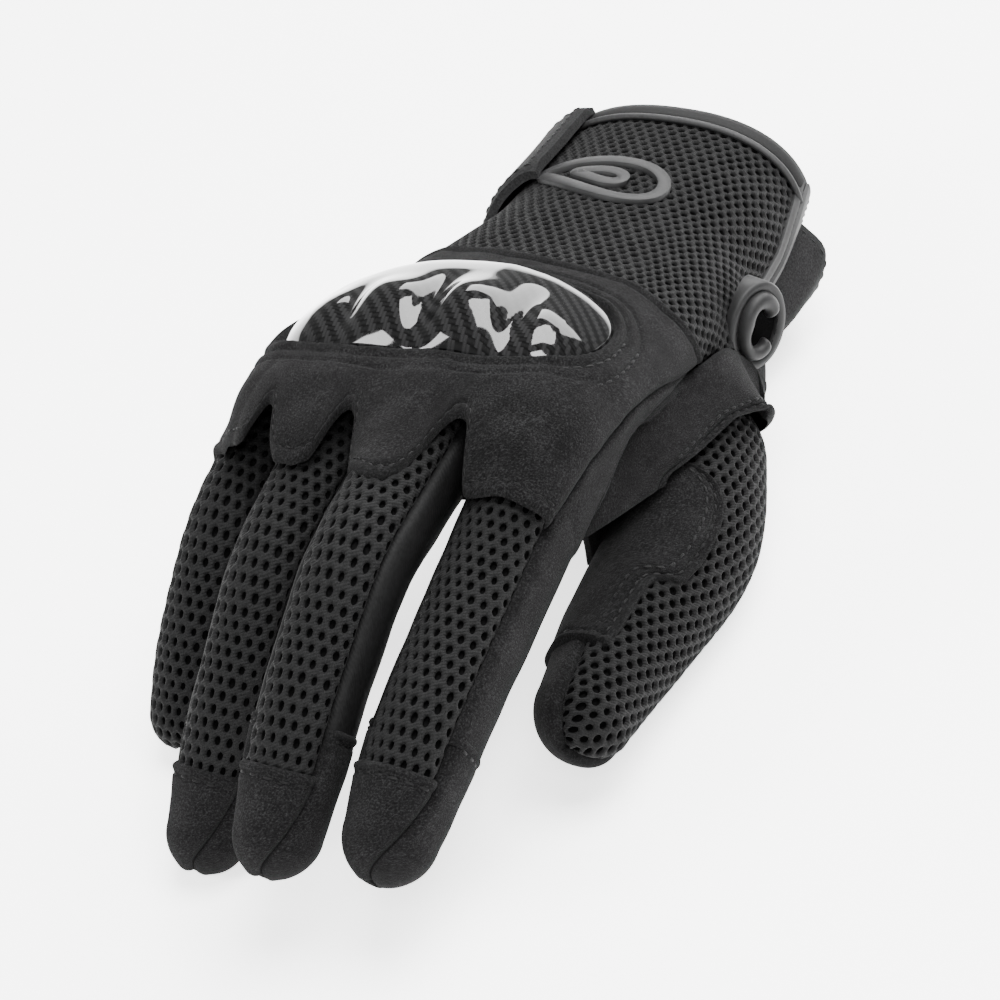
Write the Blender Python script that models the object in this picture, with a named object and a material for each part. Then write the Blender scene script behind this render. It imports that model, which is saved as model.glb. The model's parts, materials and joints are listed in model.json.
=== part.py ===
"""A short-cuff riding glove for the right hand, lying palm down with its fingers curled.

Everything is laid out in the hand's own frame, in millimetres: the origin is the centre of the
middle knuckle, +X points to the thumb side, -Y along the fingers and +Z out of the back of the hand.
At the end the hand frame is tipped until the glove rests on its strap, the thumb and the ring
fingertip. The strap and the hem are pressed flat where they meet the table.
"""

import math

import bmesh
import bpy
from mathutils import Matrix, Vector

MM = 0.001  # metres in a millimetre

# How the hand frame lies on the table, in degrees: the knuckles raised, and the thumb side lowered.
PITCH = -17.3
ROLL = 3.85
TILT = Matrix.Rotation(math.radians(ROLL), 3, "Y") @ Matrix.Rotation(math.radians(PITCH), 3, "X")

# Thicknesses and gaps
MESH_WALL = 2.0  # air mesh with its lining
SUEDE_WALL = 1.5
STRETCH_WALL = 1.2
SEAM = 0.4  # gap between two sewn panels
KNUCKLE_REACH = 29.0  # the finger tubes start on a circle of this radius about their knuckle
HAND_REACH = 27.5  # and the hand's own panels end on this one

# Sections across the hand, from the hem to the webs:
# y, centre x, centre z, half width, height above, height below, roll towards the little finger, lean
HAND_SECTIONS = (
    (127, -0.8, 0.0, 31.5, 21.2, 22.5, 0, 0),
    (100, 1.0, -1.0, 31.0, 19.5, 21.0, 0, 0),
    (80, 2.0, -2.0, 32.0, 17.5, 21.0, 2, 0),
    (50, 0.0, -2.0, 37.0, 15.5, 20.0, 5, 0),
    (20, -4.0, -1.0, 41.0, 14.5, 17.0, 7, 0),
    (2, -5.5, -1.0, 41.0, 14.0, 15.5, 8, 0),
    (-10, -6.0, -4.0, 41.0, 13.0, 13.5, 8, 16),
    (-24, -7.0, -12.0, 40.0, 12.0, 12.0, 8, 28),
)
HAND_POWER = 2.35  # roundness of the sections: 2 is an ellipse, more is squarer

# Fingers: knuckle centre, angle off straight ahead, bends at the knuckle, middle and end joints,
# lengths of the three bones, half width, half height, and whether a suede cap ends it
FINGERS = {
    "index": ((22.5, 2, -2), -1.5, (33, 0, 12), (45.5, 28, 29.5), 11.2, 12.4, True),
    "middle": ((0.5, 0, 0), -0.5, (20, 27, 10), (49, 31, 30.5), 10.3, 11.2, True),
    "ring": ((-20, 5, -2.5), -4.0, (32, 25, 5), (47, 29.5, 33), 10.0, 11.2, True),
    "pinky": ((-38.6, 13, -8), -7.5, (35, 26, 7), (37.5, 22.5, 26), 9.0, 10.0, False),
}
FINGER_TAPER = 0.15
CAP_LENGTH = 24.0

# Thumb: the middle of its tube, its half widths and half heights there, and the way its back faces
THUMB_POINTS = ((16, 88, -4), (24, 64, -15), (42, 26, -35), (39, -6, -45), (39.5, -27, -49.5))
THUMB_WIDTHS = (9.0, 13.0, 16.0, 12.9, 10.0)
THUMB_HEIGHTS = (8.0, 12.5, 13.8, 11.0, 9.2)
THUMB_BACK = (0.8, 0.0, 0.6)

# Ranges that the notches at the finger joints must leave room for, in degrees
FINGER_STRAIGHTEN = 25
FINGER_CURL = 45
THUMB_STRAIGHTEN = 15
THUMB_CURL = 25

# Panel edges round a finger, in degrees: 0 faces the thumb, 90 is the back
BACK_EDGES = (38, 142)
PALM_EDGES = (215, 325)

# Colour, roughness and metallic value of each kind of material
LOOKS = {
    "air_mesh": ((0.020, 0.020, 0.021), 0.75, 0.0),
    "suede": ((0.030, 0.030, 0.031), 0.95, 0.0),
    "stretch": ((0.010, 0.010, 0.011), 0.80, 0.0),
    "carbon": ((0.012, 0.012, 0.013), 0.12, 0.3),
    "rubber": ((0.070, 0.070, 0.073), 0.55, 0.0),
    "foam": ((0.045, 0.045, 0.045), 0.90, 0.0),
    "binding": ((0.018, 0.018, 0.019), 0.70, 0.0),
    "piping": ((0.090, 0.090, 0.093), 0.60, 0.0),
    "fastener": ((0.012, 0.012, 0.012), 0.95, 0.0),
}


def between(a, b, share):
    return a + (b - a) * share


def steps(first, last, count):
    """Evenly spaced values from first to last, count intervals."""
    return [between(first, last, i / count) for i in range(count + 1)]


def smooth_step(x):
    x = min(max(x, 0.0), 1.0)
    return x * x * (3 - 2 * x)


def look(name):
    """The named Principled material, made on first use."""
    found = bpy.data.materials.get(name)
    if found:
        return found
    colour, roughness, metallic = LOOKS[name]
    made = bpy.data.materials.new(name)
    made.use_nodes = True
    shader = made.node_tree.nodes["Principled BSDF"]
    shader.inputs["Base Color"].default_value = (*colour, 1)
    shader.inputs["Roughness"].default_value = roughness
    shader.inputs["Metallic"].default_value = metallic
    return made


# ---------------------------------------------------------------- the hand's shape


def hand_section(y):
    """The section's numbers at this y, eased between the listed sections."""
    rows = HAND_SECTIONS
    for low, high in zip(rows, rows[1:]):
        if y >= high[0] or high is rows[-1]:
            share = (low[0] - y) / (low[0] - high[0])
            return [between(a, b, share) for a, b in zip(low[1:], high[1:])]


def hand_point(y, degrees, depth=0.0):
    """A point of the hand's outer surface, or depth below it. 0 degrees faces the thumb, 90 is up."""
    centre_x, centre_z, half_width, above, below, roll, lean = hand_section(y)
    angle = math.radians(degrees)
    across, up = math.cos(angle), math.sin(angle)
    power = 2 / HAND_POWER
    side = math.copysign(abs(across) ** power, across) * (half_width - depth)
    height = math.copysign(abs(up) ** power, up) * ((above if up > 0 else below) - depth)
    turn = math.radians(roll)
    x = side * math.cos(turn) - height * math.sin(turn)
    z = side * math.sin(turn) + height * math.cos(turn)
    tip = math.radians(lean)
    return Vector((centre_x + x, y - z * math.sin(tip), centre_z + z * math.cos(tip)))


def hand_height(x, y):
    """How high the back of the hand is at x, y, where the sections stand upright."""
    low, high = 5.0, 175.0
    for _ in range(30):
        middle = (low + high) / 2
        if hand_point(y, middle).x > x:
            low = middle
        else:
            high = middle
    return hand_point(y, low).z


# ---------------------------------------------------------------- limbs: the fingers and the thumb


class Limb:
    """An elliptical tube about a bent middle line, with a dome on its end."""

    def __init__(self, points, back, widths, heights, rounding):
        self.joints = [Vector(p) for p in points]
        self.back = Vector(back).normalized()
        self.lengths = [(b - a).length for a, b in zip(self.joints, self.joints[1:])]
        self.stops = [sum(self.lengths[:i]) for i in range(len(self.joints))]
        self.widths, self.heights = widths, heights
        self.rounding = rounding
        self.dome = 0.95 * heights[-1]
        self.total = self.stops[-1]
        self.dome_start = self.total - self.dome

    def middle(self, s):
        """The middle line's point and direction, s along it, with each corner rounded."""
        for i in range(1, len(self.joints) - 1):
            reach = min(self.rounding, self.lengths[i - 1] / 2.1, self.lengths[i] / 2.1)
            offset = s - self.stops[i]
            if abs(offset) < reach:
                corner = self.joints[i]
                before = (self.joints[i - 1] - corner).normalized() * reach
                after = (self.joints[i + 1] - corner).normalized() * reach
                t = (offset + reach) / (2 * reach)
                point = corner + before * (1 - t) ** 2 + after * t * t
                direction = (after * t - before * (1 - t)).normalized()
                return point, direction
        for i in range(len(self.lengths)):
            if s <= self.stops[i + 1] or i == len(self.lengths) - 1:
                direction = (self.joints[i + 1] - self.joints[i]).normalized()
                return self.joints[i] + direction * (s - self.stops[i]), direction

    def size(self, s, sizes):
        for i in range(len(self.lengths)):
            if s <= self.stops[i + 1] or i == len(self.lengths) - 1:
                share = min(max((s - self.stops[i]) / self.lengths[i], 0.0), 1.0)
                return between(sizes[i], sizes[i + 1], share)

    def frame(self, s):
        point, forward = self.middle(s)
        up = (self.back - forward * self.back.dot(forward)).normalized()
        return point, forward, up, up.cross(forward)

    def point(self, s, degrees, depth=0.0):
        """A point of the tube. 0 degrees is the side that the joints' axes point to, 90 the back."""
        into_dome = max(s - self.dome_start, 0.0) / self.dome
        swing = into_dome * math.radians(86)
        centre, forward, up, side = self.frame(min(s, self.dome_start))
        half_width = (self.size(s, self.widths) - depth) * math.cos(swing)
        half_height = (self.size(s, self.heights) - depth) * math.cos(swing)
        angle = math.radians(degrees)
        return (
            centre
            + forward * (self.dome - depth) * math.sin(swing)
            + side * half_width * math.cos(angle)
            + up * half_height * math.sin(angle)
        )

    def beyond(self, s, degrees, hinge, open_back, open_palm, sign):
        """How far the surface at s lies past a notch's plane through the hinge at joint number hinge."""
        centre, forward, up, _ = self.frame(self.stops[hinge])
        offset = self.point(s, degrees) - centre
        height = offset.dot(up)
        open_angle = open_back if height > 0 else open_palm
        notch = abs(height) * math.tan(math.radians(open_angle)) + SEAM
        return sign * offset.dot(forward) - notch

    def notch(self, degrees, hinge, open_back, open_palm, sign):
        """Where the tube is cut at a hinge: sign 1 for the piece past it, -1 for the one before it."""
        near, far = self.stops[hinge], self.stops[hinge] + sign * 16.0
        for _ in range(30):
            s = (near + far) / 2
            if self.beyond(s, degrees, hinge, open_back, open_palm, sign) < 0:
                near = s
            else:
                far = s
        return far


def finger_limb(name):
    knuckle, splay, bends, bones, half_width, half_height, _ = FINGERS[name]
    turn = math.radians(splay)
    points = [Vector(knuckle)]
    down = 0.0
    for bend, bone in zip(bends, bones):
        down += math.radians(bend)
        flat = math.cos(down)
        step = Vector((math.sin(turn) * flat, -math.cos(turn) * flat, -math.sin(down)))
        points.append(points[-1] + step * bone)
    total = sum(bones)
    scale = [1.03 - FINGER_TAPER * sum(bones[:i]) / total for i in range(4)]
    widths = [half_width * k for k in scale]
    heights = [half_height * k for k in scale]
    return Limb(points, (0, 0, 1), widths, heights, rounding=8.0)


# ---------------------------------------------------------------- making solids


def add(name, bm, material, pivot, smooth_angle=40):
    """A named object from a bmesh in the hand frame, with its own origin at pivot."""
    bmesh.ops.remove_doubles(bm, verts=bm.verts, dist=1e-4)
    bmesh.ops.recalc_face_normals(bm, faces=bm.faces)
    bmesh.ops.transform(bm, matrix=Matrix.Scale(MM, 4) @ Matrix.Translation(-pivot), verts=bm.verts)
    mesh = bpy.data.meshes.new(name)
    bm.to_mesh(mesh)
    bm.free()
    mesh.materials.append(look(material))
    mesh.shade_smooth()
    mesh.set_sharp_from_angle(angle=math.radians(smooth_angle))
    made = bpy.data.objects.new(name, mesh)
    made.location = pivot * MM
    made.parent = bpy.data.objects["hand_frame"]
    bpy.context.scene.collection.objects.link(made)
    return made


def sheet_mesh(point, rows, columns, wall, start_depth=0.0):
    """A closed panel of even thickness. point(row, column, depth) gives its outer face at depth 0."""
    bm = bmesh.new()
    layers = []
    for depth in (start_depth, start_depth + wall):
        layers.append([[bm.verts.new(point(r, c, depth)) for c in columns] for r in rows])
    last_row, last_column = len(rows) - 1, len(columns) - 1
    for layer in layers:
        for i in range(last_row):
            for j in range(last_column):
                bm.faces.new(
                    (layer[i][j], layer[i + 1][j], layer[i + 1][j + 1], layer[i][j + 1])
                )
    outer, inner = layers
    for i in range(last_row):
        for j in (0, last_column):
            bm.faces.new((outer[i][j], outer[i + 1][j], inner[i + 1][j], inner[i][j]))
    for j in range(last_column):
        for i in (0, last_row):
            bm.faces.new((outer[i][j], outer[i][j + 1], inner[i][j + 1], inner[i][j]))
    return bm


def tube_mesh(rings):
    """A closed body through rings of points, its two ends filled."""
    bm = bmesh.new()
    made = [[bm.verts.new(p) for p in ring] for ring in rings]
    for low, high in zip(made, made[1:]):
        for i in range(len(low)):
            j = (i + 1) % len(low)
            bm.faces.new((low[i], low[j], high[j], high[i]))
    bm.faces.new(made[0])
    bm.faces.new(made[-1])
    return bm


def loop_mesh(sections):
    """A closed ring: each section is a closed outline, and the last joins the first."""
    bm = bmesh.new()
    made = [[bm.verts.new(p) for p in section] for section in sections]
    for a in range(len(made)):
        low, high = made[a], made[(a + 1) % len(made)]
        for i in range(len(low)):
            j = (i + 1) % len(low)
            bm.faces.new((low[i], low[j], high[j], high[i]))
    return bm


def cut(target, cutter_mesh):
    """Takes the cutter's space out of the target."""
    cutter = add("cutter", cutter_mesh, "foam", Vector((0, 0, 0)))
    step = target.modifiers.new("cut", "BOOLEAN")
    step.operation = "DIFFERENCE"
    step.solver = "EXACT"
    step.object = cutter
    bpy.context.view_layer.update()
    evaluated = target.evaluated_get(bpy.context.evaluated_depsgraph_get())
    mesh = bpy.data.meshes.new_from_object(evaluated)
    target.modifiers.clear()
    target.data = mesh
    bpy.data.objects.remove(cutter)


ORIGIN = Vector((0, 0, 0))


def hand_panel(name, edges, ends, wall, material, counts, depth=0.0, beneath=0.0):
    """A panel of the hand. edges gives its two angles, and ends its two y values at an angle.

    Its outer face keeps at least beneath above the table, to leave room for what lies under it.
    """
    rows, columns = counts

    def point(row, column, below):
        degrees = between(edges[0], edges[1], column)
        first, last = ends(degrees)
        surface_point = hand_point(between(first, last, row), degrees, below)
        return pressed(surface_point, below - depth + beneath)

    bm = sheet_mesh(point, steps(0, 1, rows), steps(0, 1, columns), wall, depth)
    return add(name, bm, material, ORIGIN)


# ---------------------------------------------------------------- the fingers

LIMBS = {name: finger_limb(name) for name in FINGERS}
FINGER_NOTCH = (FINGER_STRAIGHTEN / 2 + 2, FINGER_CURL / 2 + 3)
THUMB_NOTCH = (THUMB_STRAIGHTEN / 2 + 2, THUMB_CURL / 2 + 3)


def finger_slab(name, x, y):
    """Whether the hand's surface at x, y could be met by this finger as it swings."""
    knuckle, splay = Vector(FINGERS[name][0]), FINGERS[name][1]
    middle_x = knuckle.x + math.tan(math.radians(splay)) * (knuckle.y - y)
    outermost = {"index": 1, "pinky": -1}.get(name, 0)
    if outermost * (x - middle_x) > 0:
        return True
    return abs(x - middle_x) < FINGERS[name][4] + 1.0


def web_edge(degrees):
    """The y where the hand's panels end, so that they stay inside each finger's swing."""
    near, far = 0.0, -24.0
    for _ in range(24):
        y = (near + far) / 2
        point = hand_point(y, degrees)
        reach = 0.0
        for name in FINGERS:
            if finger_slab(name, point.x, point.y):
                knuckle = Vector(FINGERS[name][0])
                reach = max(reach, math.hypot(point.y - knuckle.y, point.z - knuckle.z))
        if reach > HAND_REACH:
            far = y
        else:
            near = y
    return near


def finger_start(limb, degrees):
    """Where a finger's tube starts: on the circle about its knuckle."""
    height = limb.heights[0] * math.sin(math.radians(degrees))
    return math.sqrt(KNUCKLE_REACH**2 - height**2)


def limb_panel(name, limb, angles, ends, wall, material, pivot, counts, depth=0.0):
    """A panel along a limb between two angles. ends gives its first and last s at an angle."""

    def point(row, column, below):
        degrees = between(angles[0], angles[1], column)
        first, last = ends(degrees)
        return limb.point(between(first, last, row), degrees, below)

    rows, columns = counts
    bm = sheet_mesh(point, steps(0, 1, rows), steps(0, 1, columns), wall, depth)
    return add(name, bm, material, pivot)


def seam_angles(limb, first, last):
    """The two angles drawn in by half a seam each."""
    half = math.degrees(SEAM / 2 / limb.widths[0])
    return first + half, last - half


def make_finger(name):
    limb = LIMBS[name]
    capped = FINGERS[name][6]
    knuckle = limb.joints[0]
    middle_joint = limb.middle(limb.stops[1])[0]
    back_open, palm_open = FINGER_NOTCH
    thumb_side = (PALM_EDGES[1] - 360, BACK_EDGES[0])
    little_side = (BACK_EDGES[1], PALM_EDGES[0])
    cap_start = limb.total - CAP_LENGTH

    def base_ends(degrees):
        return finger_start(limb, degrees), limb.notch(degrees, 1, back_open, palm_open, -1)

    def tip_start(degrees):
        return limb.notch(degrees, 1, back_open, palm_open, 1)

    def to_cap(degrees):
        return tip_start(degrees), cap_start - SEAM

    def to_tip(degrees):
        return tip_start(degrees), limb.total

    thumb_side_look = "suede" if name == "index" else "stretch"
    strips = [
        ("back", BACK_EDGES, "air_mesh", MESH_WALL),
        ("thumb_side", thumb_side, thumb_side_look, STRETCH_WALL),
    ]
    if name == "pinky":  # its palm piece wraps round its outer side too
        strips.append(("palm", (BACK_EDGES[1], PALM_EDGES[1]), "suede", SUEDE_WALL))
    else:
        strips.append(("little_side", little_side, "stretch", STRETCH_WALL))
        strips.append(("palm", PALM_EDGES, "suede", SUEDE_WALL))
    for strip, edges, material, wall in strips:
        angles = seam_angles(limb, *edges)
        columns = round((edges[1] - edges[0]) / 26)
        limb_panel(
            f"{name}_base_{strip}", limb, angles, base_ends, wall, material, knuckle, (3, columns)
        )
        runs_to_tip = strip == "palm" or not capped
        ends = to_tip if runs_to_tip else to_cap
        rows = 8 if runs_to_tip else 5
        limb_panel(
            f"{name}_tip_{strip}", limb, angles, ends, wall, material, middle_joint, (rows, columns)
        )
    if capped:
        around = seam_angles(limb, PALM_EDGES[1] - 360, PALM_EDGES[0])
        limb_panel(
            f"{name}_tip_cap", limb, around, lambda _: (cap_start, limb.total),
            SUEDE_WALL, "suede", middle_joint, (6, 9),
        )  # fmt: skip


# ---------------------------------------------------------------- the thumb

THUMB = Limb(THUMB_POINTS, THUMB_BACK, THUMB_WIDTHS, THUMB_HEIGHTS, rounding=12.0)
THUMB_BACK_EDGES = (-25, 128)
THUMB_PALM_EDGES = (128, 335)


def make_thumb():
    back_open, palm_open = THUMB_NOTCH
    first_joint = THUMB.middle(THUMB.stops[2])[0]
    second_joint = THUMB.middle(THUMB.stops[3])[0]
    hand_body = tube_mesh(
        [[hand_point(y, a, -SEAM) for a in steps(0, 350, 35)] for y in steps(126, -10, 17)]
    )

    def root_ends(degrees):
        return 2.0, THUMB.notch(degrees, 2, back_open, palm_open, -1)

    def base_ends(degrees):
        start = THUMB.notch(degrees, 2, back_open, palm_open, 1)
        return start, THUMB.notch(degrees, 3, back_open, palm_open, -1)

    def tip_ends(degrees):
        return THUMB.notch(degrees, 3, back_open, palm_open, 1), THUMB.total

    parts = (
        ("thumb_root", root_ends, ORIGIN, 9),
        ("thumb_base", base_ends, first_joint, 4),
        ("thumb_tip", tip_ends, second_joint, 8),
    )
    halves = (
        ("back", THUMB_BACK_EDGES, "air_mesh", MESH_WALL),
        ("palm", THUMB_PALM_EDGES, "suede", SUEDE_WALL),
    )
    for part, ends, pivot, rows in parts:
        for half, edges, material, wall in halves:
            angles = seam_angles(THUMB, *edges)
            made = limb_panel(
                f"{part}_{half}", THUMB, angles, ends, wall, material, pivot, (rows, 8)
            )
            if part == "thumb_root":
                cut(made, hand_body.copy())
    hand_body.free()
    patch = (118, 178)

    def patch_ends(degrees):
        start, end = base_ends(degrees)
        return start + 1.0, end - 1.0

    limb_panel(
        "thumb_web_patch", THUMB, patch, patch_ends, 0.9, "suede", first_joint, (4, 4),
        depth=-0.9 - SEAM,
    )  # fmt: skip


def thumb_hollow():
    """The inside of the thumb's root, which opens into the hand."""
    return tube_mesh(
        [
            [THUMB.point(s, a, MESH_WALL + 1.0) for a in steps(0, 340, 17)]
            for s in steps(14, THUMB.stops[2] - 8, 6)
        ]
    )


# ---------------------------------------------------------------- the hand's panels

SUEDE_EDGE_Y = 43.0  # where the knuckle panel begins on the back of the hand
GUSSET_TOP_Y = 62.0
SLIT_DEGREES = -8.0
RING_Y = 76.0
HEM_Y = 127.0
HEM_WIDTH = 6.0
BACK_PALM_EDGE = 206.0  # where the cuff's mesh meets the palm panel on the little-finger side
SIDE_TOP = 16.0  # the gusset's upper edge
SIDE_BOTTOM = -38.0
ULNAR_TOP = 172.0

# Knuckle guard: centre, half sizes, and its four bumps as x, y, height and radius
GUARD_CENTRE = (-7.0, 14.0)
GUARD_HALF = (37.0, 15.5)
GUARD_TURN = -4.0
GUARD_BUMPS = ((-36, 17, 3.0, 9), (-20, 12, 4.5, 10), (-1, 8, 5.0, 11), (19, 8, 4.0, 11))
GUARD_WALL = 1.6
GUARD_RISE = 3.5


def guard_outline(scale, degrees):
    """The guard's rounded outline seen from above."""
    angle = math.radians(degrees)
    turn = math.radians(GUARD_TURN)
    power = 2 / 2.4
    u = math.copysign(abs(math.cos(angle)) ** power, math.cos(angle)) * GUARD_HALF[0] * scale
    v = math.copysign(abs(math.sin(angle)) ** power, math.sin(angle)) * GUARD_HALF[1] * scale
    x = u * math.cos(turn) - v * math.sin(turn)
    y = u * math.sin(turn) + v * math.cos(turn)
    return GUARD_CENTRE[0] + x, GUARD_CENTRE[1] + y


def guard_height(x, y, share):
    """How far the guard stands above the hand: a dome with a bump over each knuckle."""
    height = GUARD_RISE * math.sqrt(max(1 - share * share, 0))
    for bump_x, bump_y, rise, radius in GUARD_BUMPS:
        away = math.hypot(x - bump_x, (y - bump_y) / 1.3) / radius
        height += rise * math.exp(-away * away) * smooth_step((1 - share) * 2.5)
    return height


def disc_mesh(outline, top, bottom):
    """A closed disc. outline gives x, y at a share outwards and an angle, top and bottom give z there."""
    bm = bmesh.new()
    shares = [0.25, 0.45, 0.62, 0.76, 0.87, 0.95, 1.0]
    degrees = steps(0, 345, 23)
    edges = []
    for height in (top, bottom):
        x, y = outline(0, 0)
        centre = bm.verts.new((x, y, height(x, y, 0)))
        rings = []
        for share in shares:
            flat = [outline(share, a) for a in degrees]
            rings.append([bm.verts.new((x, y, height(x, y, share))) for x, y in flat])
        for i in range(len(degrees)):
            j = (i + 1) % len(degrees)
            bm.faces.new((centre, rings[0][i], rings[0][j]))
            for low, high in zip(rings, rings[1:]):
                bm.faces.new((low[i], high[i], high[j], low[j]))
        edges.append(rings[-1])
    for i in range(len(degrees)):
        j = (i + 1) % len(degrees)
        bm.faces.new((edges[0][i], edges[0][j], edges[1][j], edges[1][i]))
    return bm


def make_guard():
    """The guard is a shell with a hollow under it, which the foam pad fills."""
    inner_scale = 1 - GUARD_WALL / GUARD_HALF[1]
    pad_scale = inner_scale - SEAM / GUARD_HALF[1]

    def outer(x, y, share):
        return hand_height(x, y) + guard_height(x, y, share) + 0.3

    def rim(x, y, _share):
        return hand_height(x, y) - 1.2

    def inner(x, y, share):
        return outer(x, y, share * inner_scale) - GUARD_WALL

    def outlined(scale):
        return lambda share, degrees: guard_outline(share * scale, degrees)

    shell = add("knuckle_guard", disc_mesh(outlined(1.0), outer, rim), "carbon", ORIGIN)
    hollow = disc_mesh(outlined(inner_scale), inner, lambda x, y, k: rim(x, y, k) - 1.5)
    cut(shell, hollow)
    pad = disc_mesh(outlined(pad_scale), lambda x, y, k: inner(x, y, k) - 0.5, rim)
    add("guard_foam", pad, "foam", ORIGIN)


def guard_opening():
    """The opening in the knuckle panel that frames the guard."""
    scale = 1 + 0.5 / GUARD_HALF[1]
    rings = []
    for z in (-6.0, 40.0):
        rings.append([Vector((*guard_outline(scale, a), z)) for a in steps(0, 345, 23)])
    return tube_mesh(rings)


def make_hand():
    seam_turn = math.degrees(SEAM / 20)
    knuckles = hand_panel(
        "knuckle_panel", (SIDE_TOP + 1.5 * seam_turn, ULNAR_TOP),
        lambda a: (SUEDE_EDGE_Y - SEAM, web_edge(a)), SUEDE_WALL, "suede", (10, 22),
    )  # fmt: skip
    cut(knuckles, guard_opening())
    hand_panel(
        "cuff_back_mesh", (SLIT_DEGREES + 3, BACK_PALM_EDGE),
        lambda a: (HEM_Y - HEM_WIDTH - SEAM, cuff_mesh_end(a)), MESH_WALL, "air_mesh", (6, 20),
    )  # fmt: skip
    gusset = hand_panel(
        "thumb_side_gusset", (SIDE_BOTTOM + seam_turn, SIDE_TOP),
        lambda a: (cuff_mesh_end(a) - SEAM, web_edge(a)), SUEDE_WALL, "suede", (10, 5),
    )  # fmt: skip
    cut(gusset, thumb_hollow())
    hand_panel(
        "little_side_panel", (ULNAR_TOP + seam_turn, BACK_PALM_EDGE),
        lambda a: (SUEDE_EDGE_Y - SEAM, web_edge(a)), SUEDE_WALL, "suede", (6, 4),
    )  # fmt: skip
    palm = hand_panel(
        "palm_panel", (BACK_PALM_EDGE + seam_turn, 360 + SIDE_BOTTOM),
        lambda a: (HEM_Y - HEM_WIDTH - SEAM, web_edge(a)), SUEDE_WALL, "suede", (12, 14),
        beneath=STRAP_WALL + 2 * SEAM,
    )  # fmt: skip
    cut(palm, thumb_hollow())
    hand_panel(
        "cuff_side_panel", (SIDE_BOTTOM + seam_turn, SLIT_DEGREES - 3),
        lambda _: (HEM_Y - HEM_WIDTH - SEAM, GUSSET_TOP_Y + SEAM), SUEDE_WALL, "suede", (4, 4),
    )  # fmt: skip
    hand_panel(
        "hem_binding", (SLIT_DEGREES + 3, 360 + SLIT_DEGREES - 3),
        lambda _: (HEM_Y, HEM_Y - HEM_WIDTH), 3.0, "binding", (1, 36), depth=-0.6,
    )  # fmt: skip
    hand_panel(
        "hem_piping", (SLIT_DEGREES + 6, BACK_PALM_EDGE - 10),
        lambda _: (HEM_Y - HEM_WIDTH - 1.0, HEM_Y - HEM_WIDTH - 2.8), 1.0, "piping", (1, 22),
        depth=-1.3,
    )  # fmt: skip
    hand_panel(
        "loop_patch", (178, 204), lambda _: (116, 92), 0.9, "fastener", (2, 4), depth=-1.2
    )


def cuff_mesh_end(degrees):
    """The cuff's mesh ends at the knuckle panel, and above the gusset it ends at the ring."""
    share = smooth_step((degrees - 2) / (SIDE_TOP - 2))
    return between(GUSSET_TOP_Y + SEAM, SUEDE_EDGE_Y, share)


def make_palm_patches():
    """The reinforcement patches at the heel of the hand and below the fingers."""
    hand_panel(
        "palm_heel_patch", (226, 268), lambda _: (78, 40), 1.6, "suede", (6, 6),
        depth=-1.6 - SEAM,
    )  # fmt: skip
    hand_panel(
        "palm_finger_patch", (226, 322), lambda _: (14, 1), 1.0, "suede", (3, 10),
        depth=-1.0 - SEAM,
    )  # fmt: skip


def make_slit():
    """The binding tape along the slit's two edges, and the rubber ring that ends it."""
    outline = ((-1.9, 0.5), (-1.9, 1.7), (-0.6, 2.2), (0.6, 2.2), (1.9, 1.7), (1.9, 0.5))
    rings = []
    for y in steps(HEM_Y - HEM_WIDTH - 1, RING_Y + 11, 8):
        ring = []
        for across, out in outline:
            ring.append(hand_point(y, SLIT_DEGREES + math.degrees(across / 31), -out))
        rings.append(ring)
    add("slit_binding", tube_mesh(rings), "binding", ORIGIN)
    centre = hand_point(RING_Y, SLIT_DEGREES, -0.4)
    out = (hand_point(RING_Y, SLIT_DEGREES, -3) - centre).normalized()
    along = Vector((0, 1, 0))
    along = (along - out * along.dot(out)).normalized()
    across = out.cross(along)
    section = ((4.0, 0.0), (4.0, 3.2), (5.2, 4.2), (6.6, 3.4), (6.8, 2.0), (9.2, 1.4), (9.2, 0.0))
    sections = []
    for degrees in steps(0, 345, 23):
        angle = math.radians(degrees)
        outward = along * math.cos(angle) + across * math.sin(angle) * 0.8
        sections.append([centre + outward * r + out * (h + 0.6) for r, h in section])
    add("slit_ring", loop_mesh(sections), "rubber", ORIGIN)


def make_badge():
    """A plain raised leaf shape of rubber on the cuff's mesh."""

    def leaf(share, degrees):
        angle = math.radians(degrees)
        lean = 1 + 0.35 * math.cos(angle)
        return -6 + 15 * share * math.cos(angle), 88 + 6.5 * share * math.sin(angle) * lean

    badge = disc_mesh(
        leaf, lambda x, y, _: hand_height(x, y) + 1.8, lambda x, y, _: hand_height(x, y) + 0.6
    )
    add("cuff_badge", badge, "rubber", ORIGIN)


# ---------------------------------------------------------------- the closure strap

STRAP_Y = (120.0, 90.0)
STRAP_WALL = 2.2
STRAP_HINGE = hand_point(105, -22, -3.0)
STRAP_HINGE.y = 105
FACET_LOSS = 0.45  # how far the flat facets of the lowest pieces stay inside the round shape


def table_height():
    """The table's height under the ring finger and the thumb, which touch it with the strap."""
    up = TILT[2]
    heights = []
    for limb in (LIMBS["ring"], THUMB):
        for s in steps(limb.total / 2, limb.total, 40):
            heights += [up.dot(limb.point(s, degrees)) for degrees in range(0, 360, 10)]
    return min(heights) + FACET_LOSS


TABLE = table_height()


def pressed(point, above):
    """The point, lifted if it would lie less than this far above the table."""
    up = TILT[2]
    return point + up * max(TABLE + above - up.dot(point), 0)


def strap_panel(name, angles, standoff, wall, material, columns, y_range=STRAP_Y):
    """A piece of the strap, standing off the cuff by standoff(share) to its inner face."""

    def point(row, column, below):
        degrees = between(angles[0], angles[1], column)
        y = between(y_range[0], y_range[1], row)
        return pressed(hand_point(y, degrees, below - wall - standoff(column)), below)

    bm = sheet_mesh(point, (0, 0.08, 0.2, 0.6, 1), steps(0, 1, columns), wall)
    return add(name, bm, material, STRAP_HINGE)


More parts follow.
